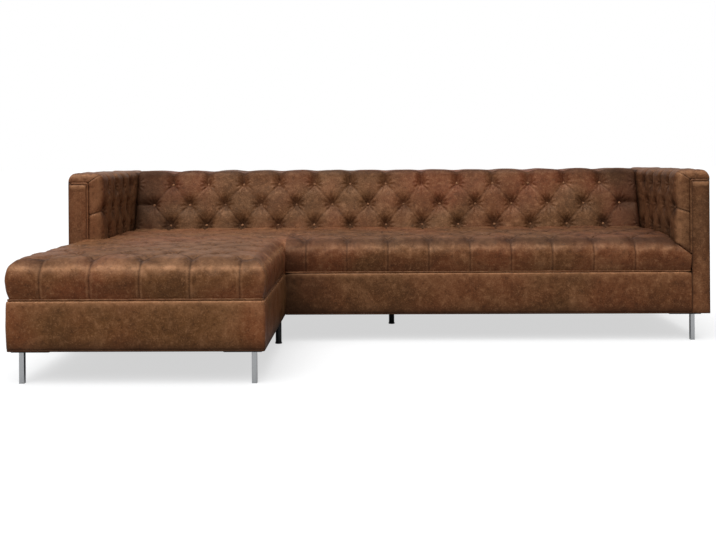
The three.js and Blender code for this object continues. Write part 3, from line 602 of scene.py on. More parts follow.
def seat_cushion(name, left, right, front, rows, columns, loose_left, loose_right, to_edge, unrubbed,
                 material):
    """A tufted cushion over its top and sides.

    columns gives the tufted field's first and last column at a depth, and loose_left and loose_right how
    freely those sides stand there, 0 where they are pressed flat. to_edge is the distance to the seat's
    nearest open edge. The share given after it is how much painted shade the cushion carries over its roll,
    along its length and at its right end, and how much weaker and lower its painted highlight on the roll
    is."""
    step_x, step_y = half_column / cells, seat_row_pitch / cells
    x_in = step_x * np.arange(math.ceil((left + roll_in) / step_x),
                              math.floor((right - roll_in) / step_x) + 1)
    first_row_y = front + first_row_in
    y_in = first_row_y + step_y * np.arange(math.ceil((front + roll_in - first_row_y) / step_y),
                                            math.floor((seat_rear - roll_in - first_row_y) / step_y) + 1)
    border = edge_cells + face_cells

    def spread(inner):
        place = np.arange(len(inner) + 2 * border)
        depth = np.maximum(border - place, 0) + np.maximum(place - (len(inner) + border - 1), 0)
        way = np.where(place < border, -1, 1)
        return inner[np.clip(place - border, 0, len(inner) - 1)], depth, way

    base_x, depth_x, way_x = (a[:, None] for a in spread(x_in))
    base_y, depth_y, way_y = (a[None, :] for a in spread(y_in))
    reach_x = np.where(way_x < 0, x_in[0] - left, right - x_in[-1])
    reach_y = np.where(way_y < 0, y_in[0] - front, seat_rear - y_in[-1])
    loose_x = np.where(way_x < 0, loose_left(base_y), loose_right(base_y))
    open_x, open_y = np.where(loose_x > 0, 1, 0), np.where(way_y < 0, 1, 0)

    # Open sides roll over and fall to the deck; pressed sides run out flat and stand as walls. The roll
    # on the left is squarer, as the foam's own edge shows through the cover there.
    ring_x, ring_y = depth_x * open_x, depth_y * open_y
    wall_x, wall_y = depth_x * (1 - open_x) / edge_cells, depth_y * (1 - open_y) / edge_cells
    depth = np.maximum(ring_x, ring_y)
    to_side = np.where(ring_x >= ring_y, 1, ring_x / np.maximum(ring_y, 1)) * (depth > 0)
    to_end = np.where(ring_y >= ring_x, 1, ring_y / np.maximum(ring_x, 1)) * (depth > 0)
    shorten = np.maximum((to_side ** corner_power + to_end ** corner_power) ** (1 / corner_power), 1e-9)
    plan_x, plan_y = to_side / shorten, to_end / shorten
    bend = np.minimum(depth / edge_cells, 1) * math.pi / 2
    fall_share = np.clip((depth - edge_cells) / face_cells, 0, 1)
    wall_share = np.clip((np.maximum(wall_x, wall_y) - 1) * edge_cells / face_cells, 0, 1)
    squarer = np.where(way_x < 0, 1 - left_squareness * plan_x ** 2 * open_x, 1)
    x = base_x + way_x * reach_x * (plan_x * np.sin(bend) ** squarer + np.minimum(wall_x, 1))
    y = base_y + way_y * reach_y * (plan_y * np.sin(bend) + np.minimum(wall_y, 1))
    edge = np.maximum(to_edge(x, y), 0)
    top = seat_height - crown_fall * np.clip(1 - edge / crown_reach, 0, 1) ** 2
    arc_end = top - roll_down
    z = top - roll_down * (1 - np.maximum(np.cos(bend), 0) ** squarer) - (arc_end - deck) * fall_share
    z = np.where(squarer < 1, z, np.minimum(z, top - edge_fall(edge, roll_in) * roll_down / roll_in))
    tuck = tuck_in * (np.maximum(deck + bulge_top - z, 0) / bulge_top) ** 2
    tuck = tuck - seat_overhang * np.sin(bend) ** 4 * (1 - 0.5 * fall_share)
    x = x - way_x * plan_x * tuck * loose_x
    y = y - way_y * plan_y * tuck * open_y
    run_on = np.stack([x + way_x * reach_x * np.maximum(wall_x - 1, 0),
                       y + way_y * reach_y * np.maximum(wall_y - 1, 0), z], -1)
    normals = facing(run_on)

    # The tufts, the gathers round them, the creases of use and the unevenness of handwork sink the cover.
    # The tufts at the right arm's face send no pleat over the front edge.
    travelled = (roll_in + roll_down) / 2 * bend + (arc_end - deck) * fall_share
    across = (base_x + way_x * (to_side * travelled + reach_x * np.minimum(wall_x, 1))) / half_column
    along = base_y + way_y * (to_end * travelled + reach_y * np.minimum(wall_y, 1)) - first_row_y
    along = along / seat_row_pitch
    first, last = columns(base_y)
    lift, near, shoulder = tufted(across, along, first, last, rows, **seat_tufting)
    plain = np.clip((across - last_pleat) / 0.5, 0, 1) * np.clip(-along / 0.6, 0, 1)
    lift, near, shoulder = lift + (1 - lift) * plain, near * (1 - plain), shoulder * (1 - plain)
    on_top = np.clip(1 - depth / edge_cells, 0, 1)
    sag = on_top * seat_tuft_depth + (1 - on_top) * seat_fold_depth * (1 - 0.45 * fall_share)
    sink = sag * (1 - lift) * np.where(depth < border, 1, 0.3)
    sink = (sink + seat_gather * starburst(across, along, 3.0) * on_top) * (1 - wall_share)
    points = np.stack([x, y, z], -1)
    stretched = points * np.array([0.45, 1, 1])
    crinkle = np.exp(-np.abs(ripple(stretched, 0.15, 24)) / 0.20) * on_top * (1 - wall_share)
    crinkle = crinkle * np.clip(1.8 * ripple(points, 0.15, 25), 0, 1)
    sink = sink + crinkle_depth * crinkle
    uneven = 0.0014 * ripple(points, 0.16, 21) + 0.0010 * ripple(points, 0.05, 22)
    points = points - normals * (sink - uneven * (1 - np.maximum(fall_share, wall_share)))[..., None]

    # Where it meets the back and the arms the top rounds off, and pressed sides stand straight.
    meets_back = edge_fall(seat_back - touch - points[..., 1], 0.022)
    beside_arm = np.where(points[..., 1] > bench_front - 0.02, 1.0, 0.0)
    meets_arm = edge_fall(arm_face - np.abs(points[..., 0]), 0.020) * beside_arm
    points[..., 2] -= np.minimum(meets_back + meets_arm, 0.030) * on_top
    points[..., 2] = deck + (points[..., 2] - deck) * (1 - wall_share)

    # Wear and painted highlight lighten the roll's crest, the tops of the puffs and the leather beside the
    # folds, and a painted highlight runs along the roll at the bench's right end. The folds and crinkles
    # darken, partly as the leather's own darker folds and partly as painted shade. Painted shade also
    # darkens the hollow over the edge, the corner beside another cushion, the bench's top towards its right
    # end, and that end.
    on_roll = (depth > 0) * (fall_share < 0.2)
    crest = hump(bend, 0.95 + 0.3 * unrubbed, 0.13) * on_roll
    waver = 0.75 + 0.25 * ripple(points, 0.06, 23)
    right_end = np.clip((x - right + 0.32) / 0.2, 0, 1) * (unrubbed > 0)
    rub = np.clip(crest * (0.4 + 0.6 * lift) * waver * (1 - unrubbed) + (0.45 + 0.2 * on_top) * shoulder
                  + 0.36 * on_top * lift, 0, 1)
    rub = np.clip(rub + 0.65 * right_end * waver * hump(bend, 1.20, 0.12) * on_roll, 0, 1)
    fold = np.clip(near, 0, 1) ** (1.5 - 0.6 * on_top) * (0.6 + 0.4 * on_top)
    fold = np.maximum(fold, 0.85 * crinkle)
    past_joint = np.clip((x - left) / 0.3, 0, 1)
    over_edge = hump(bend, 0.42 + 0.4 * unrubbed, 0.34) * on_roll
    in_corner = 0.72 * hump(np.maximum(x - left, 0), 0, 0.13) * (loose_left(base_y) == 0) * (1 - on_top)
    to_right = unrubbed * np.clip((x - right + 1.2) / 1.2, 0, 1)
    fold = fold + (0.26 + 1.5 * unrubbed * past_joint) * over_edge + in_corner + to_right * on_top
    fold = np.clip(fold + right_end * (0.24 * on_top + 0.30 * over_edge + 0.20 * fall_share), 0, 1)

    count = points.shape[0] * points.shape[1]
    index = np.arange(count).reshape(points.shape[:2])
    rim = rim_of(index)
    bottom = np.stack([np.full(len(rim), count), rim, np.roll(rim, -1)], -1)
    flat = points.reshape(-1, 3)
    triangles = folded_triangles(index, points, normals)
    flat[rim, 2] = deck
    closed = np.concatenate([flat, [[(left + right) / 2, (front + seat_rear) / 2, deck]]])
    faces = outward(closed, np.concatenate([triangles, bottom]))
    marks = {"rub": np.append(rub, 0), "fold": np.append(fold, 0)}
    return add_piece(name, closed, faces.tolist(), material, **marks)


def settled(y):
    """From 0 beside the bench cushion to 1 where the chaise stands free."""
    return np.clip((bench_front - y) / 0.03, 0, 1)


# The bench's leather is a darker copy of the chaise's, darker as painted shade, and the bench's cushion also
# carries a share of painted shade.
chaise_leather = leather("chaise_leather", "6b3921", "5b391f", (3.1, 0.4, 1.7), 0.9)
bench_leather = leather("bench_leather", "61341e", "53341c", (3.1, 0.4, 1.7), 0.54)
chaise_cushion = seat_cushion(
    "chaise_tufted_cushion", chaise_left, chaise_right, chaise_front, 13,
    lambda y: (-14, -6 + 3 * np.clip((y - bench_front + 0.02) / 0.08, 0, 1)), np.ones_like, settled,
    lambda x, y: np.minimum(np.minimum(x - chaise_left, y - chaise_front),
                            np.hypot(chaise_right - x, np.maximum(y - bench_front, 0))), 0, chaise_leather)
bench_cushion = seat_cushion(
    "bench_tufted_cushion", chaise_right + touch, panel_edge - touch, bench_front, 5,
    lambda y: (-7, 14), np.zeros_like, np.zeros_like, lambda x, y: y - bench_front, 0.30, bench_leather)
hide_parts("chaise_seat_cushion")
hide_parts("bench_seat_cushion")

# Both are cut to what presses on them: the raked back, and the arms' pads and panels.
over_all, past_arm, past_back, under_deck = top_edge + 0.04, 1.6, 0.9, deck - 0.04
behind_back = [(back_foot_y - touch, under_back - touch), (past_back, under_back - touch),
               (past_back, over_all), (back_foot_y - touch + (over_all - under_back) * back_slope, over_all)]
below_arm = [(arm_face - touch, under_arm - touch), (arm_face - touch, over_all), (past_arm, over_all),
             (past_arm, under_deck), (panel_edge - touch, under_deck),
             (panel_edge - touch, under_arm_outer - touch)]
for cushion, side, front in ((chaise_cushion, -1, bench_front - touch),
                             (bench_cushion, 1, bench_front - 0.1)):
    cut_away(cushion, behind_back, (-past_arm, past_arm), 0)
    cut_away(cushion, [(side * x, z) for x, z in below_arm], (front, 0.95), 1)
    cushion.data.set_sharp_from_angle(angle=math.radians(50))

# The long back cushion: one tufted cover over padding, on the raked face of the back and over its top
# rail to the outside, where it is stapled. Three rows of tufts, and pleats over the top edge.
back_tuft_depth, back_gather = 0.026, 0.0024
back_roll, rear_roll = 0.038, 0.026
lowest_row, row_pitch, rows_up = 0.518, 0.108, 3
wrap_end = 0.757
pad_thickness = 0.075
back_columns, tail_points = (-13, 13), 14
inside_low = back_foot_y + pad_thickness
inside_high = inside_low + (wrap_end - under_back) * back_slope
back_tufting = {"fold_share": 0.17, "pleat_share": 0.42, "pleat_soft": 0.42, "pleat_line": 0.12}


def pad_section(low_u, low_z, rake, far_u, far_roll, step):
    """A pad's outside, from the foot of its face up and over the top to the outside of the frame.

    Gives each point's place, the way it faces, and how far it lies past the face's foot."""
    slope = math.tan(rake)
    tangent_z = top_edge - back_roll + back_roll * math.sin(rake)
    face_z = np.arange(low_z, tangent_z, step)
    centre = (low_u + (tangent_z - low_z) * slope + back_roll * math.cos(rake), top_edge - back_roll)
    far_centre = (far_u - far_roll, top_edge - far_roll)
    near_turn, far_turn = np.linspace(rake, math.pi / 2, 13), np.linspace(math.pi / 2, math.pi, 9)[1:]
    flat_u = np.arange(centre[0] + step, far_centre[0] - step / 2, step)
    tail_z = np.linspace(far_centre[1], wrap_end, 5)[1:]
    runs = [
        (low_u + (face_z - low_z) * slope, face_z, -math.cos(rake), math.sin(rake)),
        (centre[0] - back_roll * np.cos(near_turn), centre[1] + back_roll * np.sin(near_turn),
         -np.cos(near_turn), np.sin(near_turn)),
        (flat_u, top_edge, 0, 1),
        (far_centre[0] - far_roll * np.cos(far_turn), far_centre[1] + far_roll * np.sin(far_turn),
         -np.cos(far_turn), np.sin(far_turn)),
        (far_u, tail_z, 1, 0),
    ]
    all_points = np.concatenate([np.stack(np.broadcast_arrays(*run), -1) for run in runs])
    places, ways = all_points[:, :2], all_points[:, 2:]
    gaps = np.linalg.norm(np.diff(places, axis=0), axis=1)
    return places, ways, np.concatenate([[0], np.cumsum(gaps)])


def back_cushion(name, material):
    """The cover's outside over the back's whole length, and the straight inside against the frame."""
    places, ways, run = pad_section(back_foot_y, under_back, back_rake, back_plane, rear_roll,
                                    row_pitch / 20)
    pitch = half_column / cells
    reach = arm_face - touch
    near_end = np.array([0, 0.0015, 0.004, 0.008])
    inner = np.arange(math.ceil((0.012 - reach) / pitch), math.floor((reach - 0.012) / pitch) + 1) * pitch
    x = np.concatenate([near_end - reach, inner, reach - near_end[::-1]])[:, None]
    y, z = places[None, :, 0], places[None, :, 1]
    way_y, way_z = ways[None, :, 0], ways[None, :, 1]
    run = run[None, :]
    across = x / half_column
    along = (run - (lowest_row - under_back) / math.cos(back_rake)) / (row_pitch / math.cos(back_rake))
    higher = np.clip(along, 0, rows_up - 1)
    lift, near, shoulder = tufted(across, along, *back_columns, rows_up,
                                  knot_reach=0.26 + 0.05 * (1 - higher), **back_tufting)

    # The tufts, the gathers round them and the unevenness of handwork sink the cover.
    past = np.clip((run - run[0, -tail_points]) / 0.03, 0, 1)
    sink = back_tuft_depth * (1 - lift) * (1 - past)
    sink = sink + back_gather * starburst(across, along, 1.0) * (along < 2.6) * (along > -0.6)
    sink = sink + edge_fall(reach - np.abs(x), 0.020) * 0.9
    spots = np.stack(np.broadcast_arrays(x, y, z), -1)
    sink = sink - 0.0022 * ripple(spots, 0.21, 5) * (1 - past)
    sink = np.where(run < run[0, -1], sink, 0)
    grid = np.stack(np.broadcast_arrays(x, y - way_y * sink, z - way_z * sink), -1)
    inside_y = np.array([0.5 * (back_plane + inside_high), inside_high, inside_low, back_foot_y + 0.02])
    inside_z = np.array([wrap_end + touch, wrap_end + touch, under_back, under_back])
    hidden = np.stack(np.broadcast_arrays(x, inside_y, inside_z), -1)

    # The puffs' crests, the top and the leather beside the folds are lightened, partly from wear and partly
    # as painted highlight. The folds darken, partly as the leather's own darker folds and partly as painted
    # shade.
    # Painted shade also darkens the hollow above each button, the ends beside the arms and the top's outer
    # edge.
    from_arm = reach - np.abs(x)
    on_face = np.clip((1 - way_z) / 0.4, 0, 1)
    at_arm = 0.9 * np.exp(-from_arm / 0.010) + 0.85 * on_face * hump(from_arm, 0, 0.20)
    at_top = 0.75 * hump(top_edge - z, 0, 0.022) * (way_z < 0.97)
    top_rub = hump(run, run[0, -1] - 0.20, 0.035)
    rub = np.clip(0.15 * np.clip(1.2 * lift - 0.35, 0, 1) + 0.1 * top_rub * lift + 0.25 * shoulder, 0, 1)
    off_across, off_along = from_tuft(across, along)[1:]
    above = hump(off_across, 0, 0.26) * hump(off_along, 0.15, 0.19) * (along < 2.7)
    fold = 0.88 * near * (1 - 0.25 * higher) + 0.16 * above * np.clip(1.2 - 0.45 * along, 0, 1.2)
    fold = np.clip(fold + at_arm + at_top, 0, 1)
    rub, fold = (np.pad(mark, ((0, 0), (0, hidden.shape[1]))) for mark in (rub, fold))
    return loft_body(name, np.concatenate([grid, hidden], axis=1), material, rub=rub, fold=fold)


back_leather = leather("back_leather", "64311c", "4d3019", (4.4, 2.2, 0.3), 0.7)
long_back = back_cushion("tufted_back_cushion", back_leather)
long_back.data.set_sharp_from_angle(angle=math.radians(60))
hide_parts("back_cushion")

# Each arm's pad: the same tufted cover on the inner face and over the top, four buttons long, drawn round
# the front edge as a smooth boxed border and mitred at the corner above the front panel.
hands = (("left", -1), ("right", 1))
arm_tuft_depth, arm_gather = 0.020, 0.0020
rear_round, shoulder_roll = 0.026, 0.030
front_round_face, front_round_top, front_fullness = 0.046, 0.028, 0.85
arm_pitch, first_arm_button, arm_cells = 0.065, 0.045, 12
arm_columns, smoothing = (1, 8), 13
pad_front, piping_radius = bench_front + 0.0025, 0.0046
arm_tufting = {"fold_share": 0.20, "knot_reach": 0.27, "pleat_share": 0.30, "pleat_soft": 0.40,
               "pleat_line": 0.6}


def set_faces_out(piece, weld=False):
    """Turns all of a closed piece's faces outward, and first welds doubled points where asked."""
    shape = bmesh.new()
    shape.from_mesh(piece.data)
    if weld:
        bmesh.ops.remove_doubles(shape, verts=shape.verts, dist=1e-6)
    bmesh.ops.recalc_face_normals(shape, faces=shape.faces)
    shape.to_mesh(piece.data)
    shape.free()


def arm_pad(name, side, material):
    """The pad as one closed cover; side is 1 on the right and -1 on the left."""
    fuller = 0.006 if side < 0 else 0.001
    places, ways, run = pad_section(arm_face, under_arm, 0.0, half_width + fuller, shoulder_roll,
                                    row_pitch / 32)
    lead = np.array([[panel_edge - touch, under_arm_outer], [arm_face + 0.012, under_arm - 0.008]])
    places = np.concatenate([lead, places])
    ways = np.concatenate([[[0, -1], [-0.7, -0.7]], ways])
    run = np.concatenate([[-0.07, -0.01], run])

    # The inner edge of the front border and of the pad's rear end, which the section shrinks toward: up
    # beside the panel to the mitre, then level out to the side.
    to_mitre = back_roll * (1 - math.sqrt(0.5))
    mitre_z, mitre_u = top_edge - to_mitre, arm_face + to_mitre
    lower = run <= run[0] + 0.07 + (top_edge - back_roll - under_arm) + back_roll * math.pi / 4 + 1e-6
    share_low = np.clip((places[:, 1] - under_arm_outer) / (mitre_z - under_arm_outer), 0, 1)
    share_high = np.clip((places[:, 0] - mitre_u) / (half_width - mitre_u), 0, 1)
    inner_u = panel_edge - touch + share_high * (half_width - panel_edge + touch)
    inner_z = under_arm_outer + share_low * (wrap_end - under_arm_outer)
    base = np.stack([np.where(lower, panel_edge - touch, inner_u), np.where(lower, inner_z, wrap_end)], -1)
    base[-1] = places[-1]
    gap = base - places
    length = np.linalg.norm(gap, axis=1)
    toward = gap / np.maximum(length, 1e-9)[:, None]
    mitre = np.argmax(~lower)
    mitre_off = np.abs(run - run[mitre])

    # The section's stations from the front seam to the rear end, each with its kind and its value: a
    # turn, a place along the arm, or a share of the flat rear end.
    front_stop, rear_stop = pad_front + front_round_face, back_plane - rear_round
    front_depth = np.where(lower, front_round_face, front_round_top)
    front_depth = np.convolve(np.pad(front_depth, smoothing // 2, mode="edge"),
                              np.full(smoothing, 1 / smoothing), mode="valid")
    front_depth = np.clip(length * 0.9, 0.006, front_depth)
    inner_y = first_arm_button + arm_pitch / arm_cells * np.arange(
        math.ceil((front_stop - first_arm_button) * arm_cells / arm_pitch) + 1,
        math.floor((rear_stop - first_arm_button) * arm_cells / arm_pitch))
    stations = [("front turn", turn) for turn in np.linspace(0, math.pi / 2, 17)[::-1]]
    stations += [("body", y) for y in inner_y]
    stations += [("rear turn", turn) for turn in np.linspace(0, math.pi / 2, 9)]
    stations += [("rear end", share) for share in (0.12, 0.26, 0.42, 0.58, 0.72, 0.84, 0.92, 0.97, 1.0)]

    radius = np.minimum(rear_round, length * 0.8)
    grid = np.zeros((len(stations), len(run), 3))
    folds, rubs = np.zeros(grid.shape[:2]), np.zeros(grid.shape[:2])
    for place, (kind, value) in enumerate(stations):
        on_body, on_border = kind == "body", kind == "front turn"
        if on_border:
            inset = length * (1 - math.cos(value) ** front_fullness)
            y = pad_front + front_depth * (1 - math.sin(value) ** front_fullness)
            y = y + 0.004 * np.exp(-(length - inset) / 0.005)
        elif on_body:
            inset, y = np.zeros(len(run)), np.full(len(run), value)
        elif kind == "rear turn":
            inset = radius * (1 - math.cos(value))
            y = np.full(len(run), rear_stop + rear_round * math.sin(value))
        else:
            inset = radius + (length - radius) * value
            swell = np.minimum(length, 0.06) * 0.07 * math.sin(math.pi * value ** 0.8)
            y = back_plane + 0.3 * swell - 0.005 * math.exp(-(1 - value) / 0.06)
        across = (y - first_arm_button) / arm_pitch + 1
        along = (run - (lowest_row - under_arm)) / row_pitch
        lift, near, shoulder = tufted(across, along, *arm_columns, rows_up, **arm_tufting)
        fade = np.clip((9.2 - across) / 1.2, 0, 1)
        past = np.clip((run - run[-1] + 0.085) / 0.05, 0, 1) + (run < 0.0)
        turned = value if on_border else 0.0
        sunk = arm_tuft_depth * (1 - lift) * fade * np.clip(1 - past, 0, 1)
        sink = sunk * math.cos(turned) * (on_body or on_border)
        gathered = starburst(across, along, 2.0 + side) * (across > 0.3) * fade * (along < 2.6)
        sink = sink + arm_gather * gathered
        spot = np.stack([np.full(len(run), 0.1) + places[:, 0], y, places[:, 1]], -1)
        uneven = 0.0020 * ripple(spot, 0.17, 7) + 0.0008 * ripple(spot, 0.05, 9)
        sink = sink - uneven * (run > 0) * (run < run[-1] - 0.01) * on_body
        sink = np.where((run > -0.06) & (run < run[-1]), sink, 0)
        fold_line = np.exp(-mitre_off / 0.003) * math.sin(turned) ** 0.5
        point = places + toward * inset[:, None] - ways * sink[:, None]
        grid[place, :, 0] = side * point[:, 0]
        grid[place, :, 1] = y + 0.003 * fold_line + sunk * math.sin(turned)
        grid[place, :, 2] = point[:, 1]

        # A painted highlight lightens the border's bend and the leather beside its mitre, and wear with
        # painted highlight lightens the puffs and the leather beside the folds. The folds and the mitre's
        # line darken, partly as the leather's own darker folds and partly as painted shade. Painted shade
        # also darkens the leather along the piping, the corner with the back and the whole of the right
        # arm's inner face.
        at_bend = 0.45 * hump(value, 0.7, 0.35) * on_border
        by_seam = 0.5 * hump(mitre_off, 0.007, 0.003) * on_border
        rub = (0.35 - 0.2 * on_border) * lift ** 2 + (0.3 + 0.4 * on_border) * shoulder
        rubs[place] = np.clip(rub + at_bend + by_seam, 0, 1)
        on_face = on_body * (run < run[mitre])
        at_piping = 0.9 * die_away(length - inset - piping_radius, 0.0025) * on_border
        at_back = seat_back + (places[:, 1] - seat_height) * back_slope - y
        dark = at_piping + (0.8 * die_away(at_back, 0.015) + 0.24 * (side > 0)) * on_face
        folds[place] = np.clip(0.85 * near * fade * (1 - past) + 0.8 * fold_line + dark, 0, 1)

    count, width = grid.shape[:2]
    index = np.arange(count * width).reshape(count, width)
    corner_x = side * (panel_edge - touch)
    corners = np.array([[corner_x, grid[0, 0, 1], wrap_end], [corner_x, grid[-1, 0, 1], wrap_end]])
    front_corner, rear_corner = count * width, count * width + 1
    upright = [front_corner, *index[0, mitre - 1::-1], *index[1:-1, 0], *index[-1, :mitre], rear_corner]
    level = [rear_corner, *index[-1, mitre:], *index[-2:0:-1, -1], *index[0, :mitre - 1:-1], front_corner]
    links = [[front_corner, index[0, mitre], index[0, mitre - 1]],
             [rear_corner, index[-1, mitre - 1], index[-1, mitre]]]
    skin = np.stack(cell_corners(index), -1).reshape(-1, 4).tolist()
    faces = skin + [[int(point) for point in face] for face in (upright, level, *links)]
    marks = {"rub": np.append(rubs, [0, 0]), "fold": np.append(folds, [0, 0])}
    pad = add_piece(name, np.concatenate([grid.reshape(-1, 3), corners]), faces, material, **marks)
    set_faces_out(pad, weld=True)
    return pad


# The right arm's leather is a darker copy of the left's, darker as painted shade.
arm_leathers = {
    "left": leather("left_arm_leather", "70432a", "5e3d26", (1.9, 6.1, 4.7), 0.8),
    "right": leather("right_arm_leather", "5f3720", "50321e", (5.9, 3.3, 1.1), 0.8),
}
behind = [(inside_low - (under_back - deck) * back_slope - touch, deck),
          (inside_high - touch, wrap_end + touch), (past_back, wrap_end + touch), (past_back, deck)]
for hand, side in hands:
    pad = arm_pad(f"{hand}_tufted_arm_pad", side, arm_leathers[hand])
    cut_away(pad, behind, sorted((side * (arm_face - 0.04), side * (panel_edge + 0.0001))), 0)
    pad.data.set_sharp_from_angle(angle=math.radians(60))
    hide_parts(f"{hand}_arm_pad")

# Buttons covered in the same leather, one on each tuft of the back and the arms. A waxed cord through the
# padding pulls each one down into its hollow, and their domes carry a painted highlight, partly wear.
button_radius, button_height, button_sides = 0.0078, 0.0052, 24
button_profile = [(1.0, -0.8), (1.06, -0.1), (0.98, 0.35), (0.75, 0.72), (0.42, 0.94)]
button_rub, button_proud = 0.45, 0.001
button_leather = leather("button_leather", "67452f", "603d29", (7.3, 0.9, 5.2), 1.0)


def buttons(name, places, way, spin):
    """All buttons of one cushion, which face one way; spin is a direction across it."""
    way = np.array(way) / np.linalg.norm(way)
    one = np.array(spin) - way * np.dot(spin, way)
    one /= np.linalg.norm(one)
    turn = np.arange(button_sides) / button_sides * 2 * math.pi
    circle = np.cos(turn)[:, None] * one + np.sin(turn)[:, None] * np.cross(way, one)
    points, faces, rubs = [], [], []
    for place in np.array(places):
        start = len(points)
        for wide, high in button_profile:
            points.extend((place + button_radius * wide * circle + button_height * high * way).tolist())
            rubs.extend([button_rub * max(high, 0)] * button_sides)
        points.append((place + button_height * way).tolist())
        rubs.append(button_rub)
        index = start + np.arange(len(button_profile) * button_sides).reshape(-1, button_sides)
        index = np.concatenate([index, index[:, :1]], axis=1)
        a, above_a, above_b, b = cell_corners(index)
        faces.extend(np.stack([a, b, above_b, above_a], -1).reshape(-1, 4).tolist())
        faces.extend([[int(a), int(b), len(points) - 1] for a, b in zip(index[-1], index[-1, 1:])])
        faces.append(index[0, -2::-1].tolist())
    piece = add_piece(name, np.array(points), faces, button_leather, rub=np.array(rubs),
                      fold=np.zeros(len(points)))


def tufts_between(first, last):
    """The column and the row of each tuft; every second column of a row has one."""
    return [(column, row) for row in range(rows_up) for column in range(first, last + 1)
            if (column + row) % 2 == 0]


sunk = back_tuft_depth - button_proud
button_places = []
for column, row in tufts_between(*back_columns):
    z = lowest_row + row * row_pitch
    y = seat_back + (z - seat_height) * back_slope
    button_places.append((column * half_column, y + math.cos(back_rake) * sunk,
                          z - math.sin(back_rake) * sunk))
buttons("back_buttons", button_places, (0, -math.cos(back_rake), math.sin(back_rake)), (1, 0, 0))
for hand, side in hands:
    places = [(side * (arm_face + arm_tuft_depth - button_proud),
               first_arm_button + (column - 1) * arm_pitch,
               lowest_row + row * row_pitch) for column, row in tufts_between(*arm_columns)]
    buttons(f"{hand}_arm_buttons", places, (-side, 0, 0), (0, 1, 0))

# Smooth leather bands round the boxes below the seats: each a hide over thin padding, with a folded hem
# along its foot that is stapled under the box. The chaise's is one piece round its three sides.
band_low, band_high, band_thick = 0.1303, 0.3255, 0.012
band_swell, hem, hem_pinch = 0.0028, 0.008, 0.0018
band_corner, foot_turn, head_turn = 0.010, 0.004, 0.006
corner_steps = 7


def rounded_path(corners, radius, step):
    """A path through corners, rounded off and cut into steps, and the way out on its right at each step."""
    places, ways = [], []
    corners = [np.array(corner, float) for corner in corners]
    start = corners[0]
    for here, ahead in zip(corners[1:], corners[2:] + [None]):
        along = (here - start) / np.linalg.norm(here - start)
        stop = here if ahead is None else here - along * radius
        count = max(int(np.linalg.norm(stop - start) / step), 2)
        out = np.array([along[1], -along[0]])
        for share in np.linspace(0, 1, count, endpoint=ahead is None):
            places.append(start + (stop - start) * share)
            ways.append(out)
        if ahead is not None:
            next_along = (ahead - here) / np.linalg.norm(ahead - here)
            next_out = np.array([next_along[1], -next_along[0]])
            side = 1 if np.dot(out, next_along) < 0 else -1
            middle = stop - side * out * radius
            for share in np.linspace(0, 1, corner_steps, endpoint=False):
                way = out * math.cos(share * math.pi / 2) + next_out * math.sin(share * math.pi / 2)
                places.append(middle + side * way * radius)
                ways.append(way)
            start = here + next_along * radius
    return np.array(places), np.array(ways)


def sweep(path, ways, section):
    """Rings along a level path: each section point is how far out it lies and how high."""
    rings = np.zeros((len(path), len(section), 3))
    rings[..., :2] = path[:, None] + ways[:, None] * section[None, :, :1]
    rings[..., 2] = section[None, :, 1]
    return rings


def band(name, corners, wraps_round, material):
    """A padded band along the foot of a box, hemmed below and turned in above. One that does not wrap round
    its box starts in a corner, where a painted shadow darkens it."""
    path, ways = rounded_path(corners, band_corner, 0.012)
    turn = np.linspace(0, math.pi / 2, 5)
    low_turn = np.stack([foot_turn * (np.sin(turn) - 1), band_low + foot_turn * (1 - np.cos(turn))], -1)
    high_turn = np.stack([head_turn * (np.cos(turn) - 1), band_high - head_turn * (1 - np.sin(turn))], -1)
    by_hem = band_low + hem + np.array([-0.0025, -0.001, 0, 0.001, 0.003])
    face_z = np.concatenate([by_hem, np.arange(band_low + hem + 0.009, band_high - 0.008, 0.008)])
    face = np.stack([np.zeros(len(face_z)), face_z], -1)
    section = np.concatenate([[[-band_thick, band_low]], low_turn, face, high_turn,
                              [[-band_thick, band_high]]])
    rings = sweep(path, ways, section)
    from_foot, from_top = section[:, 1] - band_low, band_high - section[:, 1]
    at_hem = np.exp(-np.abs(from_foot - hem) / 0.0012)
    share = np.clip((from_foot - hem) / (band_high - band_low - hem), 0, 1)
    uneven = 0.0010 * ripple(rings, 0.23, 3) + 0.0005 * ripple(rings, 0.075, 4)
    out = (band_swell + uneven) * np.sqrt(np.sin(math.pi * share)) - hem_pinch * at_hem
    rings[..., :2] += ways[:, None] * (out * (section[:, 0] > -0.0045))[..., None]
    # A painted highlight along the top edge, fading down the upper band. Painted shade along the hem's
    # crease and at the foot, and a painted shadow in the start corner.
    rub = 0.55 * hump(from_top, 0.004, 0.010) + 0.38 * np.exp(-from_top / 0.045)
    dark = 0.5 * at_hem + np.exp(-(np.maximum(from_foot, 0) / 0.034) ** 1.6)
    in_corner = 0.0 if wraps_round else 0.75 * hump(path[:, :1], path[0, 0], 0.18)
    rub, fold = (np.clip(mark + np.zeros(rings.shape[:2]), 0, 1) for mark in (rub, dark + in_corner))
    made = loft_body(name, rings, material, rub=rub, fold=fold)
    made.data.set_sharp_from_angle(angle=math.radians(65))
    return made


def round_chaise(inset, stop_y):
    """Corners of a path round the chaise's open sides, inset from them, to where the bench begins."""
    return [(chaise_left + inset, bench_front - touch), (chaise_left + inset, chaise_front + inset),
            (chaise_right - inset, chaise_front + inset), (chaise_right - inset, stop_y)]


def along_bench(inset, start_x):
    """The ends of a path along the bench's front, inset from it, to the right arm's panel."""
    return [(start_x, bench_front + inset), (panel_edge - touch, bench_front + inset)]


band_out, band_tail = 0.001, 0.014
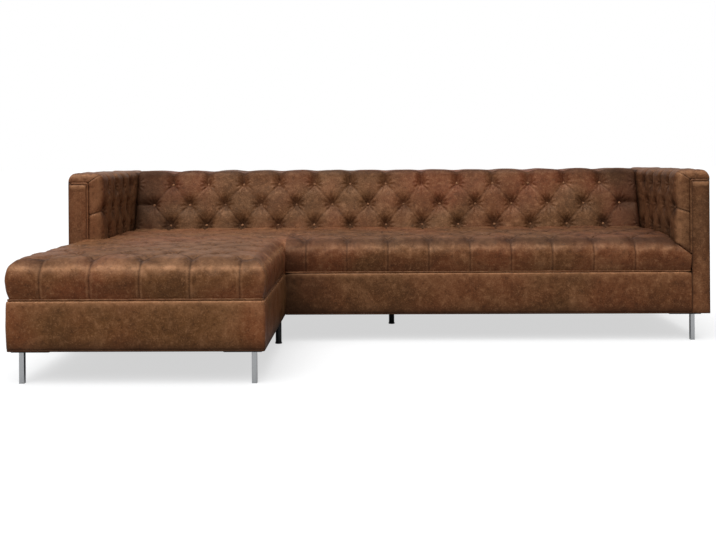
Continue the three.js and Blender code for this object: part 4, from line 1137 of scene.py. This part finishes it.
# The bench's band is a darker copy of the chaise's band, darker as painted shade.
chaise_band_leather = leather("chaise_band_leather", "6f3e23", "5d3b1f", (2.6, 7.9, 3.3), 0.8)
bench_band_leather = leather("bench_band_leather", "5f351e", "4f321b", (8.2, 1.4, 6.0), 0.7)
chaise_band = band("chaise_leather_band", round_chaise(band_out, bench_front + band_tail), True,
                   chaise_band_leather)
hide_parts("chaise_front_band", "chaise_left_band", "chaise_right_band")
bench_band = band("bench_leather_band", along_bench(band_out, chaise_right - band_out + touch), False,
                  bench_band_leather)
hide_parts("bench_band")

# Welts between the bands and the seats, and piping round the arms' front panels: strips of leather sewn
# round a cord. They stand out a little from the edges they close, and are slightly rubbed.
welt_height, welt_radius, welt_inset = 0.330, 0.0042, 0.007
piping_inset, cord_sides = 0.0015, 14
cord_leather = leather("welt_leather", "57321c", "4e2e18", (3.9, 9.1, 2.2), 1.0)


def leather_cord(name, path, ways, radius, place, material, wear):
    """A covered cord along a flat path; place turns the path's plane and the height over it into a point."""
    turn = np.arange(cord_sides) / cord_sides * 2 * math.pi
    rings = sweep(path, ways, np.stack([radius * np.cos(turn), radius * np.sin(turn)], -1))
    rings += 0.00025 * ripple(rings, 0.045, 8)[..., None]
    cord = loft_body(name, place(rings), material, rub=np.full(rings.shape[:2], wear),
                     fold=np.zeros(rings.shape[:2]))
    return cord


chaise_path = rounded_path(round_chaise(welt_inset, bench_front + welt_inset + welt_radius),
                           2 * welt_radius, 0.010)
bench_path = rounded_path(along_bench(welt_inset, chaise_right - welt_inset + welt_radius + touch),
                          2 * welt_radius, 0.010)
for name, path in (("chaise", chaise_path), ("bench", bench_path)):
    welt = leather_cord(f"{name}_leather_welt", *path, welt_radius,
                        lambda rings: rings + np.array([0, 0, welt_height]), cord_leather, 0.12)
    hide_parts(f"{name}_welt")
piping_turn = 2 * piping_radius
piping_path = rounded_path([
    (panel_edge, under_arm_outer + piping_turn), (panel_edge, wrap_end),
    (half_width - piping_turn, wrap_end),
], piping_turn, 0.006)
for hand, side in hands:
    piping = leather_cord(
        f"{hand}_leather_piping", *piping_path, piping_radius,
        lambda rings, side=side: np.stack([side * rings[..., 0], bench_front + piping_inset + rings[..., 2],
                                           rings[..., 1]], -1), arm_leathers[hand], 0.15)
    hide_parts(f"{hand}_arm_piping")

# Flat covers that close the arms and the back: a smooth front panel on each arm, and the outside covers of
# the arms and the back. Each is leather over thin wadding, drawn to its edges; the back's has two seams.
cover_low, cover_high, cover_round = 0.1303, 0.7567, 0.005
panel_thick, arm_cover_thick, back_cover_thick = 0.014, 0.0077, 0.008
cover_front, cover_rear, box_side = -0.0107, 0.8167, 1.4717
seam_pinch = 0.003


def flat_cover(name, near, far, thick, place, material, swell, top_puff=0.0, seams=(), piped=0.0):
    """A closed padded cover: near gives its near side at a height, and place turns it into the room.

    top_puff is how far its top stands out, and how strong a painted highlight lies on it. piped is how dark
    a painted shade lies beside its piping and along its outer edge, and a piped panel gets a painted
    highlight down its middle."""
    ends = np.array([0, 0.0008, 0.002, 0.004, 0.007, 0.012, 0.020])
    at_deck = [deck, deck + 0.0005] if near(cover_low) != near(cover_high) else []
    up = np.unique(np.concatenate([cover_low + ends, np.arange(cover_low + 0.032, cover_high - 0.026, 0.012),
                                   cover_high - ends, at_deck]))
    width = far - near(cover_low)
    even = np.linspace(0.028 / width, 1 - 0.028 / width, max(int((width - 0.05) / 0.012), 2))
    by_seam = np.array([-0.004, -0.0015, 0, 0.0015, 0.004])
    shares = np.unique(np.concatenate([ends / width, even, 1 - ends / width]
                                      + [(seam + by_seam - near(cover_low)) / width for seam in seams]))
    left = np.array([near(z) for z in up])[:, None]
    across = left + (far - left) * shares[None, :]
    z = np.broadcast_to(up[:, None], across.shape)
    to_side, to_end = np.minimum(across - left, far - across), np.minimum(z - cover_low, cover_high - z)
    inside = np.maximum(np.minimum(to_side, to_end), 0)

    def beside_seams(reach):
        """How near each point is to a seam, within a reach."""
        return sum((die_away(np.abs(across - seam), reach) for seam in seams), np.zeros(across.shape))

    fall = np.minimum(edge_fall(to_side, cover_round) + edge_fall(to_end, cover_round), cover_round)
    flat = np.stack([across, np.zeros(across.shape), z], -1)
    uneven = 0.0012 * ripple(flat, 0.26, 11) + 0.0005 * ripple(flat, 0.08, 12)
    puff = top_puff * hump(cover_high - z, 0.015, 0.008) * np.clip(inside / 0.012, 0, 1)
    out = swell * (1 - np.exp(-inside / 0.03)) - fall - seam_pinch * beside_seams(0.004)
    out = out + uneven * np.clip(inside / 0.03, 0, 1) + puff
    outside, lining = place(across, out, z), place(across, np.full(out.shape, -thick), z)
    index = np.arange(out.size).reshape(out.shape)
    rim = rim_of(index)
    rear_rim = index.size + np.arange(len(rim))
    skin = np.stack(cell_corners(index), -1).reshape(-1, 4)
    wall = np.stack([rim, np.roll(rim, -1), np.roll(rear_rim, -1), rear_rim], -1)
    faces = np.concatenate([skin, wall]).tolist() + [rear_rim[::-1].tolist()]

    # A plain cover's edges are rubbed lighter with wear. A piped panel gets a painted highlight down its
    # middle and on its top's puff. The seams are dark. Painted shade darkens the leather beside the piping,
    # a panel's outer edge and the foot.
    if piped:
        rub = 0.20 * np.sin(math.pi * (across - left) / (far - left)) ** 2
    else:
        rub = 0.4 * np.exp(-inside / 0.006)
    beside_piping = die_away(np.minimum(across - left, cover_high - z) - piping_radius, 0.0025)
    at_outer_edge = 0.75 * np.exp(-(far - across) / 0.013)
    dark = np.maximum(np.clip(beside_seams(0.002), 0, 1), piped * np.maximum(beside_piping, at_outer_edge))
    dark = np.maximum(dark, 0.7 * np.exp(-((z - cover_low) / 0.025) ** 1.6))
    rub, fold = (np.pad(mark.ravel(), (0, len(rim))) for mark in (np.clip(rub + 260 * puff, 0, 1), dark))
    piece = add_piece(name, np.concatenate([outside.reshape(-1, 3), lining.reshape(-1, 3)[rim]]), faces,
                      material, rub=rub, fold=fold)
    set_faces_out(piece)
    piece.data.set_sharp_from_angle(angle=math.radians(50))
    return piece


# The left arm is a little fuller than the right one, and its panel stops at the box below the deck.
for hand, side in hands:
    near_side = box_side + touch if side < 0 else panel_edge
    panel = flat_cover(
        f"{hand}_leather_front_panel", lambda z, low=near_side: low if z <= deck else panel_edge,
        half_width + (0.005 if side < 0 else 0), panel_thick,
        lambda across, out, z, side=side: np.stack([side * across, bench_front - out, z], -1),
        arm_leathers[hand], 0.0035, top_puff=0.0055, piped=0.9)
    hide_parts(f"{hand}_arm_front_panel")
    cover = flat_cover(
        f"{hand}_leather_outside_cover", lambda z: cover_front, cover_rear, arm_cover_thick,
        lambda across, out, z, side=side: np.stack([side * (half_width + out), across, z], -1),
        arm_leathers[hand], 0.008 if side < 0 else 0.003)
    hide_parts(f"{hand}_arm_outside_cover")
rear_cover = flat_cover(
    "leather_back_cover", lambda z: -half_width, half_width, back_cover_thick,
    lambda across, out, z: np.stack([across, back_plane + out, z], -1),
    leather("back_cover_leather", "583018", "492d15", (6.6, 4.8, 8.4), 0.7), 0.003, seams=(-0.5, 0.5))
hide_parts("back_outside_cover")

# Dust cloths of thin black non-woven stuff, cut to the boxes, stretched under the rails and stapled. They
# close the boxes from below, and they dip a little between the rails.
cloth_black, fibre_grey = "121213", "2e2e30"
cloth_dip, cloth_steps = 0.003, 61
dust_material, dust_tree, dust_shader = new_material("non_woven_cloth")
dust_place = add_node(dust_tree, "ShaderNodeTexCoord").outputs["Object"]
dust_dots = add_node(dust_tree, "ShaderNodeTexVoronoi", Vector=dust_place, Scale=600.0)
dust_fibres = add_node(dust_tree, "ShaderNodeTexNoise", Vector=dust_place, Scale=90.0, Detail=6.0,
                       Roughness=0.7)
dust_shade = tint(dust_tree, dust_fibres.outputs["Fac"], (0.0, linear(cloth_black)),
                  (1.0, linear(fibre_grey)))
finish(dust_tree, dust_shader, dust_shade, dust_dots.outputs["Distance"], 0.5, 0.0006, 0.9)
for name in ("chaise", "bench"):
    low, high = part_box(f"{name}_dust_cloth")
    steps = np.linspace(0, 1, cloth_steps)
    across, along = np.meshgrid(steps, steps, indexing="ij")
    x, y = low[0] + (high[0] - low[0]) * across, low[1] + (high[1] - low[1]) * along
    dip = (np.sin(math.pi * across) * np.sin(math.pi * along)) ** 2
    for leg in ("chaise_support_leg", "bench_support_leg", "rear_support_leg"):
        foot_low, foot_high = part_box(leg)
        reach = np.hypot(x - (foot_low[0] + foot_high[0]) / 2, y - (foot_low[1] + foot_high[1]) / 2)
        dip = dip * np.clip((reach - 0.06) / 0.12, 0, 1) ** 2
    upper = np.stack([x, y, high[2] - cloth_dip * dip], -1)
    lower = upper - np.array([0, 0, high[2] - low[2]])
    index = np.arange(across.size).reshape(across.shape)
    rim = rim_of(index)
    top = np.stack(cell_corners(index), -1).reshape(-1, 4)
    wall = np.stack([rim, np.roll(rim, -1), np.roll(rim, -1) + index.size, rim + index.size], -1)
    faces = np.concatenate([top, top[:, ::-1] + index.size, wall[:, ::-1]]).tolist()
    cloth = add_piece(f"{name}_under_cloth", np.stack([upper, lower]), faces, dust_material)
    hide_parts(f"{name}_dust_cloth")

# Square legs of polished chromed steel at the outer corners, each welded to a plate that is screwed up
# into the box. The chrome shows faint polishing lines and a few fingerprints; the plate is coloured dark as
# painted shade, for the shade under the box.
chrome_grey, chrome_bright, plate_dark = "d2d5d8", "eceded", "1d1b1a"
plate_low = 0.1257
chrome_material, chrome_tree, chrome_shader = new_material("polished_chrome")
chrome_place = add_node(chrome_tree, "ShaderNodeTexCoord").outputs["Object"]
polish = add_node(chrome_tree, "ShaderNodeMapping", Vector=chrome_place, Scale=(400, 400, 12))
lines = add_node(chrome_tree, "ShaderNodeTexNoise", Vector=polish.outputs[0], Scale=1.0, Detail=3.0)
prints = add_node(chrome_tree, "ShaderNodeTexNoise", Vector=chrome_place, Scale=35.0, Detail=4.0)
smear = remap(chrome_tree, prints.outputs["Fac"], 0.4, 0.7, 0.08, 0.24)
chrome_shade = tint(chrome_tree, lines.outputs["Fac"], (0.0, linear(chrome_grey)),
                    (1.0, linear(chrome_bright)))
height_up = add_node(chrome_tree, "ShaderNodeSeparateXYZ", Vector=chrome_place)
on_plate = remap(chrome_tree, height_up.outputs["Z"], plate_low - 0.0002, plate_low + 0.0005)
finish(chrome_tree, chrome_shader, blend(chrome_tree, on_plate, chrome_shade, linear(plate_dark)),
       lines.outputs["Fac"], 0.15, 0.0002, smear)
chrome_shader.inputs["Metallic"].default_value = 1.0

# Round supports of moulded black plastic where the boxes meet and under the bench's middle. Each is one
# piece with a wider foot, and a flange at its top that is screwed up into the boxes.
plastic_black, plastic_grey = "111112", "232325"
black_material, black_tree, black_shader = new_material("moulded_black_plastic")
black_place = add_node(black_tree, "ShaderNodeTexCoord").outputs["Object"]
flow = add_node(black_tree, "ShaderNodeTexNoise", Vector=black_place, Scale=60.0, Detail=4.0)
pits = add_node(black_tree, "ShaderNodeTexNoise", Vector=black_place, Scale=900.0)
black_shade = tint(black_tree, flow.outputs["Fac"], (0.0, linear(plastic_black)),
                   (1.0, linear(plastic_grey)))
finish(black_tree, black_shader, black_shade, pits.outputs["Fac"], 0.3, 0.0003, 0.42)
for name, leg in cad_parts.items():
    if name.endswith("_leg"):
        cover_with(leg, black_material if "support" in name else chrome_material)
